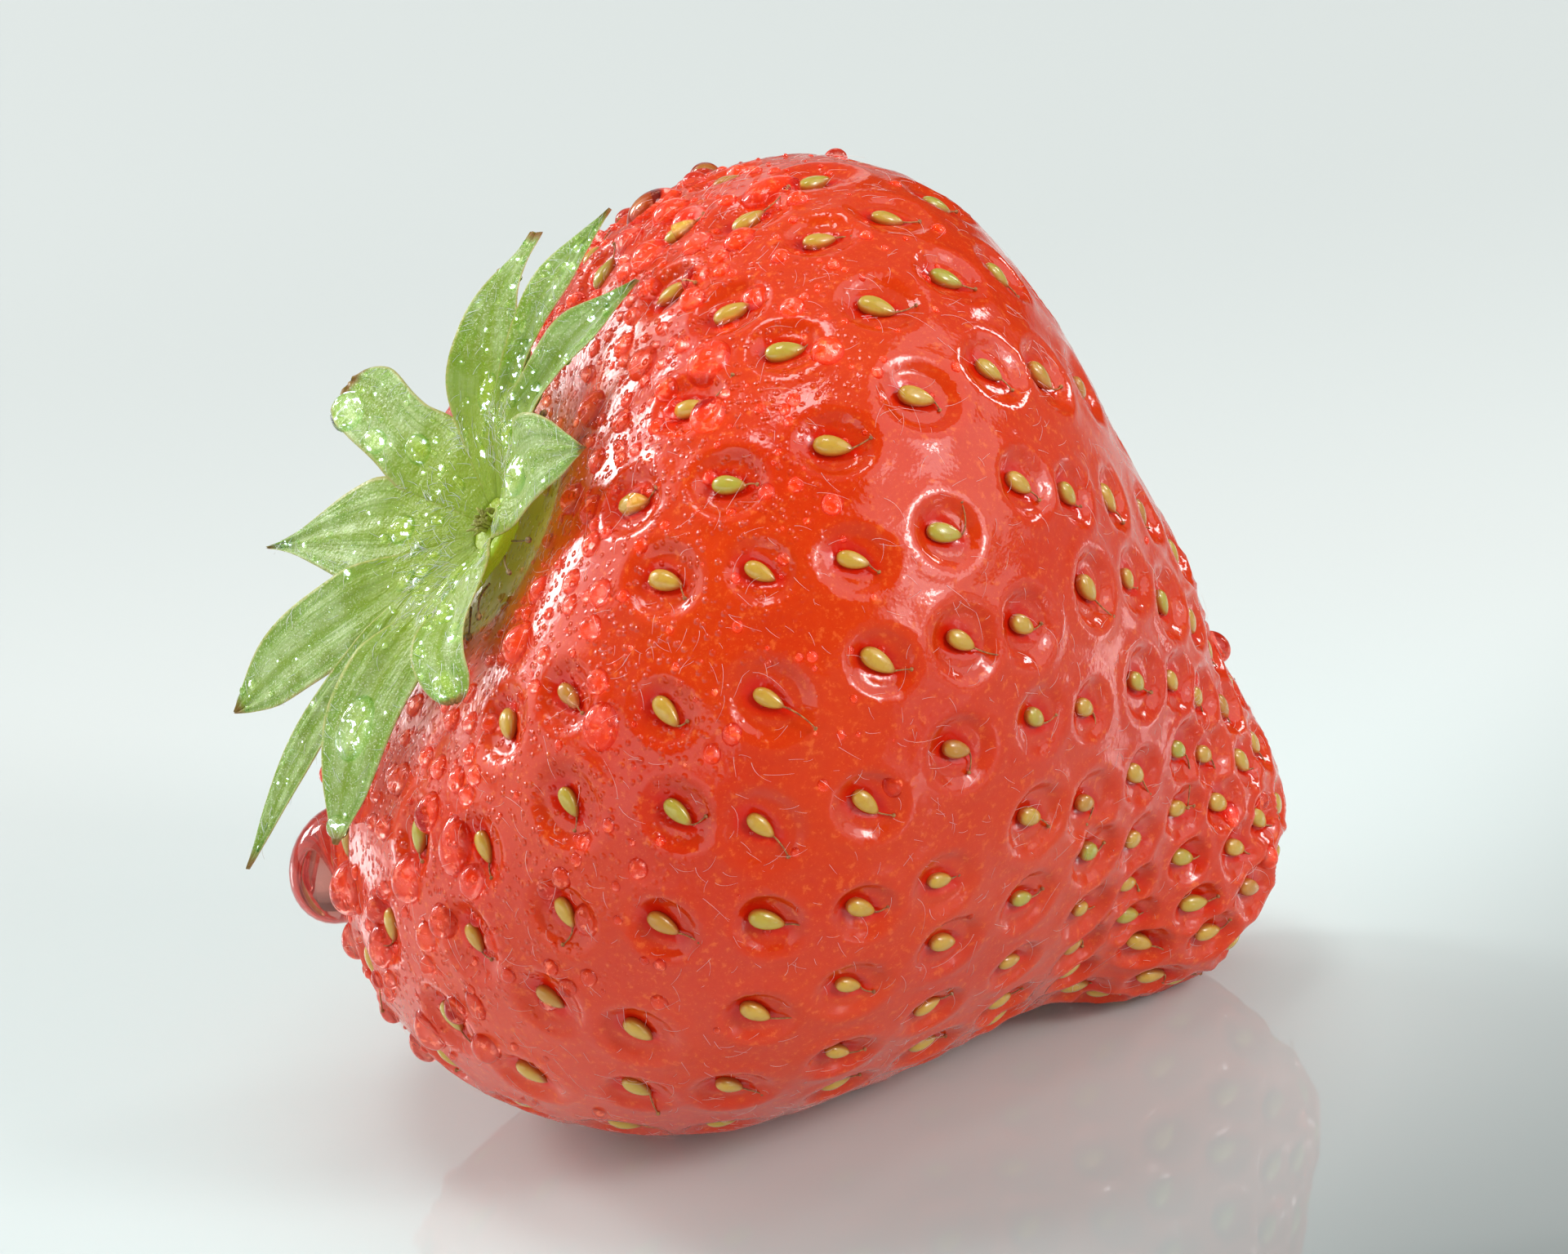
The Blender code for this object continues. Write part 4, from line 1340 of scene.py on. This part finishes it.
@dataclass
class WaterDrops:
    """Drops of all sizes on the flesh and on the leaves."""

    flesh: Flesh
    small_count: int = 900
    beads_a_leaf: int = 95
    crowding: float = 0.93
    sag: float = 0.20
    # drops wider than this take the foot's deep red all over: painted red light from the flesh seen through them
    painted_red_from: float = 1.5

    def settled(self, drops: list[Drop]) -> list[Drop]:
        """The drops that neither run into an earlier one nor reach down to the board."""
        shape = self.flesh.shape
        taken: list[tuple[Array, float]] = []
        kept = []
        for drop in drops:
            point = shape.skin(drop.clock, drop.t)
            crowded = any(np.linalg.norm(point - other) < self.crowding * (drop.radius + size)
                          for other, size in taken)
            if not crowded and shape.world(point)[2] >= (0.2 + drop.radius) * MM:
                taken.append((point, drop.radius))
                kept.append(drop)
        return kept

    def on_flesh(self) -> Piece:
        """Drops on the flesh: large ones by the calyx, small ones scattered from the shoulder up."""
        draw = np.random.default_rng(9)
        shape, batch = self.flesh.shape, Batch("drops_on_flesh")
        kept = self.settled([*self.large(), *self.middling(draw), *self.small(draw)])
        frames = [shape.frames(drop.clock, drop.t) for drop in kept]
        turns = np.radians(np.arange(10) * 36.0)[:, None]
        spots = []
        for (point, normal, tipward), drop in zip(frames, kept):
            ring = drop.radius * (np.cos(turns) * tipward + np.sin(turns) * np.cross(normal, tipward))
            spots.append(np.concatenate([[point], point + 0.95 * ring, point + 0.5 * ring]))
        relief = self.flesh.relief(np.concatenate(spots))[0].reshape(len(kept), -1)
        down = shape.rotation.T @ -UP
        for (_, _, radius, tall, stretch), (point, normal, tipward), heights in zip(kept, frames, relief):
            slide = down - normal * (down @ normal)
            ahead = unit(slide if np.linalg.norm(slide) > 0.05 else tipward)
            level = float(np.median(heights))
            foot = level - float(heights.min()) + 0.03 * radius**2
            sides, levels = (22, 8) if radius > 0.35 else (10, 4) if radius > 0.12 else (7, 3)
            points, faces, rim = dome(radius, radius * tall, stretch, foot, sides, levels)
            # painted red light from the flesh, all over the largest drops
            if radius > self.painted_red_from:
                rim = np.maximum(rim, 0.9)
            sag = self.sag * np.maximum(points[:, 2:3], 0.0) * np.linalg.norm(slide)
            turned = points @ np.stack([ahead, np.cross(normal, ahead), normal])
            batch.add(point + normal * level + turned + ahead * sag, faces, rim=rim)
        # red tint: partly juice, partly painted red light from the flesh; deep red painted shade at the foot; faint
        # painted caustic light
        water = Water("water", (0.96, 0.80, 0.72), (0.50, 0.07, 0.04), (0.10, 0.05, 0.03))
        return batch.build(shape, water.material())

    def middling(self, draw: Chance) -> list[Drop]:
        """Middling drops crowded on the upper shoulder and along the side."""
        areas = ((296.0, 424.0, 0.64, 0.85, 130), (120.0, 214.0, 0.60, 0.84, 90),
                 (60.0, 120.0, 0.70, 0.86, 26), (214.0, 296.0, 0.62, 0.84, 60))
        return [Drop(draw.uniform(low, high), draw.uniform(near, far),
                     chance_radius(draw, -0.85, 0.40, 0.22, 0.80), draw.uniform(0.60, 0.92), draw.uniform(1.0, 1.2))
                for low, high, near, far, count in areas for _ in range(count)]

    def small(self, draw: Chance) -> list[Drop]:
        """Small drops, most of them near the calyx and few towards the tip."""
        made: list[Drop] = []
        while len(made) < self.small_count:
            clock, t = draw.uniform(0, 360), draw.uniform(0.1, 0.93)
            point = self.flesh.shape.skin(clock, t)
            wet = 0.012 + 0.99 * float(smooth(21.5, 31.5, point[2])) ** 1.6
            if draw.random() < wet * np.hypot(point[0], point[1]) / self.flesh.shape.broadest:
                radius = chance_radius(draw, -1.95, 0.50, 0.05, 0.40)
                made.append(Drop(clock, t, radius, draw.uniform(0.45, 0.85), draw.uniform(1.0, 1.18)))
        return made

    def large(self) -> list[Drop]:
        """The largest drops."""
        return [Drop(*row) for row in (
            (66.0, 0.755, 0.80, 0.42, 1.05), (94.0, 0.84, 0.62, 0.45, 1.0), (86.0, 0.79, 0.50, 0.5, 1.0),
            (136.0, 0.765, 0.52, 0.6, 1.0), (140.0, 0.728, 0.78, 0.62, 1.45), (140.0, 0.815, 0.50, 0.6, 1.0),
            (170.0, 0.69, 0.68, 0.75, 1.25), (140.0, 0.675, 0.50, 0.5, 1.1), (182.0, 0.71, 0.95, 0.85, 1.1),
            (150.0, 0.65, 0.48, 0.5, 1.3), (190.0, 0.665, 0.62, 0.8, 1.2), (182.0, 0.635, 0.52, 0.8, 1.1),
            (178.0, 0.612, 0.60, 0.75, 1.2), (340.0, 0.70, 1.05, 0.62, 1.15), (346.0, 0.735, 0.62, 0.7, 1.0),
            (358.0, 0.705, 0.78, 0.8, 1.1), (346.0, 0.668, 0.50, 0.75, 1.1), (322.0, 0.71, 0.62, 0.8, 1.0),
            (356.0, 0.762, 0.46, 0.7, 1.0), (28.0, 0.685, 0.62, 0.5, 1.0), (340.0, 0.765, 0.66, 0.75, 1.0),
            (2.0, 0.655, 0.80, 0.40, 1.3), (14.0, 0.688, 0.60, 0.55, 1.1), (40.0, 0.715, 0.85, 0.6, 1.1),
            (32.0, 0.775, 0.72, 0.62, 1.0), (20.0, 0.795, 0.50, 0.6, 1.1), (12.0, 0.84, 0.36, 0.9, 1.0),
            (56.0, 0.18, 0.44, 0.85, 1.0), (14.0, 0.25, 0.62, 0.85, 1.1), (22.0, 0.235, 0.40, 0.8, 1.0),
            (88.0, 0.53, 0.36, 0.35, 1.2), (78.0, 0.155, 0.44, 0.75, 1.1), (44.0, 0.30, 0.42, 0.6, 1.2),
            (70.0, 0.215, 0.40, 0.6, 1.3), (198.0, 0.692, 2.05, 0.88, 1.08),
        )]

    def on_leaves(self, leaves: list[Leaf]) -> Piece:
        """Drops on the leaves: some large lenses and many tiny beads."""
        draw = np.random.default_rng(19)
        batch = Batch("drops_on_leaves")
        by_name = {leaf.name: leaf for leaf in leaves}
        beads = [
            ("bractlet_5", 0.93, -0.55, 0.82, 0.72, 1.0), ("bractlet_5", 0.78, -0.60, 0.46, 0.65, 1.4),
            ("bractlet_5", 0.66, 0.0, 0.50, 0.51, 1.4), ("bractlet_4", 0.60, 0.05, 0.55, 0.52, 1.3),
            ("sepal_4", 0.80, 0.1, 0.75, 0.65, 1.6), ("sepal_4", 0.97, 0.0, 0.42, 0.80, 1.1),
            ("sepal_3", 0.93, 0.0, 0.55, 0.72, 1.1), ("sepal_3", 0.62, 0.2, 0.50, 0.58, 1.2),
            ("sepal_2", 0.62, 0.05, 0.85, 0.32, 1.2), ("bractlet_1", 0.68, 0.0, 0.42, 0.58, 2.0),
            ("bractlet_2", 0.66, -0.1, 0.40, 0.58, 1.9), ("bractlet_2", 0.46, 0.0, 0.45, 0.51, 1.2),
            ("sepal_1", 0.62, 0.1, 0.42, 0.51, 1.7), ("sepal_5", 0.55, -0.2, 0.36, 0.51, 1.4),
            ("sepal_4", 0.22, 0.0, 0.42, 0.36, 2.2), ("sepal_3", 0.25, 0.3, 0.36, 0.36, 2.4),
            ("bractlet_5", 0.26, 0.2, 0.22, 0.51, 2.0), ("sepal_1", 0.27, -0.2, 0.20, 0.51, 2.2),
            ("sepal_5", 0.27, 0.3, 0.20, 0.51, 1.8), ("bractlet_4", 0.30, 0.4, 0.24, 0.51, 1.6),
        ]
        beads += [(leaf.name, draw.uniform(0.34, 0.97), draw.uniform(-0.88, 0.88),
                   chance_radius(draw, -2.75, 0.5, 0.035, 0.26), draw.uniform(0.45, 0.85),
                   draw.uniform(1.0, 1.5)) for leaf in leaves for _ in range(self.beads_a_leaf)]
        for name, u, v, radius, tall, long in beads:
            point, normal = by_name[name].spot(u, v)
            ahead = by_name[name].along(u, v)
            sides, levels = (26, 10) if radius > 0.3 else (7, 3)
            points, faces, rim = dome(radius, radius * tall, long, 0.05, sides, levels)
            batch.add(point + points @ np.stack([ahead, np.cross(normal, ahead), normal]), faces, rim=rim)
        # leaf water: painted green shade at the drops' feet and painted caustic light in spots
        return batch.build(self.flesh.shape, Water("leaf_water").material())

    def build(self, leaves: list[Leaf]) -> list[Piece]:
        """Build the drops on the flesh and on the leaves, which light goes through without a shadow."""
        pieces = [self.on_flesh(), self.on_leaves(leaves)]
        for piece in pieces:
            piece.visible_shadow = False
        return pieces


# ------------------------------------------------------------------------------------------ studio
class Lamp(Enum):
    """What the light of a soft box does."""

    FULL = "lights and mirrors"
    FILL = "lights only"
    GLINT = "mirrors only"


def toward(azimuth: float, rise: float) -> Vector:
    """A direction from its azimuth, from the camera's side round to the right, and its rise, in degrees."""
    a, e = math.radians(azimuth), math.radians(rise)
    return Vector((math.sin(a) * math.cos(e), -math.cos(a) * math.cos(e), math.sin(e)))


@dataclass
class Studio:
    """Glossy board, soft boxes, a dark side behind the camera, and the camera."""

    rise: float = 20.0
    roll: float = 8.0
    distance: float = 240.0
    lens: float = 150.0
    target: tuple[float, float, float] = (1.6, 0.0, 17.4)
    air: Colour = (0.74, 0.80, 0.78)
    air_strength: float = 0.35
    board_reach: float = 6.0
    screen_distance: float = 0.7
    screen_dark: Colour = (0.03, 0.028, 0.028)
    screen_light: Colour = (0.045, 0.042, 0.042)

    def sheet(self, name: str, rows: list[list[tuple[float, ...]]], material: Material) -> Piece:
        """A sheet of the studio over rows of points."""
        wide = len(rows[0])
        corners = [i for i in range(wide * (len(rows) - 1)) if (i + 1) % wide]
        faces = [(i, i + 1, i + wide + 1, i + wide) for i in corners]
        mesh = bpy.data.meshes.new(name)
        mesh.from_pydata([point for row in rows for point in row], [], faces)
        mesh.materials.append(material)
        made = link(name, mesh)
        return made

    def board(self) -> None:
        """The board that the fruit lies on."""
        steps = np.linspace(-self.board_reach, self.board_reach, 13)
        self.sheet("board", [[(x, y, 0.0) for x in steps] for y in steps], GlossyBoard().material())

    def screen(self, name: str, azimuths: Span, rises: Span) -> None:
        """A curved dark screen, which only shows in reflections.

        Args:
            name: its name.
            azimuths: where it begins and ends, in degrees from the camera's side round to the right.
            rises: its lower and upper edge above the horizon, in degrees.
        """
        g = Graph(name)
        g.set(Base_Color=g.mix(g.noise(4.0, 3.0), self.screen_dark, self.screen_light), Roughness=0.9)
        rows = [[tuple(toward(a, e) * self.screen_distance) for a in np.linspace(*azimuths, 15)]
                for e in np.linspace(*rises, 9)]
        self.sheet(name, rows, g.material).visible_camera = False

    def soft_box(self, name: str, azimuth: float, rise: float, size: Span, radiance: float,
                 away: float = 0.62, lamp: Lamp = Lamp.FULL) -> None:
        """One soft box that faces the fruit.

        Args:
            name: its name.
            azimuth: where it stands, in degrees from the camera's side round to the right.
            rise: its height above the horizon in degrees.
            size: its width and height in metres.
            radiance: how bright its face is, with the white board at about 1.
            away: its distance in metres.
            lamp: what its light does.
        """
        light = bpy.data.lights.new(name, "AREA")
        light.shape = "RECTANGLE"
        light.size, light.size_y = size
        light.energy = radiance * math.pi * size[0] * size[1]
        made = link(name, light)
        back = toward(azimuth, rise)
        made.location = back * away
        made.rotation_mode = "QUATERNION"
        made.rotation_quaternion = back.to_track_quat("Z", "Y")
        made.visible_camera = False
        made.visible_glossy = lamp is not Lamp.FILL
        made.visible_diffuse = lamp is not Lamp.GLINT

    def lights(self) -> None:
        """The soft boxes and the pale surroundings."""
        for box in (
            ("left_back_box", -124.0, 27.0, (0.52, 0.50), 1.17),
            ("left_back_core", -138.0, 15.0, (0.12, 0.12), 12.60, 0.6),
            ("left_key", -127.0, 34.0, (0.09, 0.13), 19.80, 0.59),
            ("right_box", 69.0, 36.0, (0.74, 0.84), 1.32, 0.62, Lamp.GLINT),
            ("right_fill", 69.0, 36.0, (0.74, 0.84), 1.44, 0.62, Lamp.FILL),
            ("right_halo", 58.0, 28.0, (0.30, 0.32), 2.70, 0.6),
            ("right_core", 54.0, 29.0, (0.12, 0.13), 16.20, 0.58),
            ("overhead_core", -110.0, 81.0, (0.15, 0.15), 9.00, 0.6),
            ("low_front_box", -62.0, 8.0, (0.95, 0.24), 1.08),
            ("left_fill", -108.0, 19.0, (0.20, 0.20), 2.70, 0.62, Lamp.FILL),
            ("front_fill", 0.0, 28.0, (0.80, 0.50), 0.86, 0.62, Lamp.FILL),
            ("low_left_fill", -48.0, 5.0, (0.36, 0.20), 3.00, 0.62, Lamp.FILL),
            ("right_back_core", 120.0, 22.0, (0.08, 0.15), 12.0, 0.6),
            ("back_wall", 180.0, 18.0, (0.24, 0.20), 0.45),
            ("top_box", 150.0, 76.0, (0.42, 0.36), 1.60, 0.62, Lamp.FILL),
        ):
            self.soft_box(*box)
        world = bpy.data.worlds.new("studio_air")
        world.use_nodes = True
        ground = world.node_tree.nodes["Background"]
        ground.inputs["Color"].default_value = (*self.air, 1.0)
        ground.inputs["Strength"].default_value = self.air_strength
        bpy.context.scene.world = world

    def camera(self) -> None:
        """The camera, a little turned about its own axis."""
        made = link("camera", bpy.data.cameras.new("camera"))
        made.data.lens = self.lens
        made.data.sensor_width = 36.0
        made.data.clip_start, made.data.clip_end = 0.01, 30.0
        e, r = math.radians(self.rise), math.radians(self.roll)
        back = toward(0.0, self.rise)
        level = Vector((1.0, 0.0, 0.0))
        above = Vector((0.0, math.sin(e), math.cos(e)))
        right = level * math.cos(r) - above * math.sin(r)
        up = level * math.sin(r) + above * math.cos(r)
        made.rotation_mode = "QUATERNION"
        made.rotation_quaternion = Matrix((right, up, back)).transposed().to_quaternion()
        made.location = (Vector(self.target) + back * self.distance) * MM
        bpy.context.scene.camera = made

    def build(self) -> None:
        """Set up the studio."""
        self.board()
        self.screen("dark_screen", (-72.0, 28.0), (19.0, 74.0))
        self.screen("back_screen", (134.0, 168.0), (1.0, 34.0))
        self.lights()
        self.camera()
        bpy.context.scene.view_settings.view_transform = "Standard"


def main() -> None:
    """Build the strawberry's looks in order and report each piece."""
    logging.basicConfig(level=logging.INFO, format="%(name)s: %(message)s")
    shape = FruitShape()
    seeds = SeedSpiral(shape)
    flesh = Flesh(shape, seeds)
    pieces = [flesh.build(), *Achenes(shape, seeds).build(), FleshHairs(shape, seeds).build()]
    calyx, leaves = Calyx(shape).build()
    pieces += [*calyx, *WaterDrops(flesh).build(leaves)]
    for piece in pieces:
        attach(piece, "root")
        piece.data.calc_loop_triangles()
        LOG.info("%s: %d triangles", piece.name, len(piece.data.loop_triangles))
    LOG.info("all: %d triangles", sum(len(p.data.loop_triangles) for p in pieces))
    Studio().build()


if __name__ == "__main__":
    main()
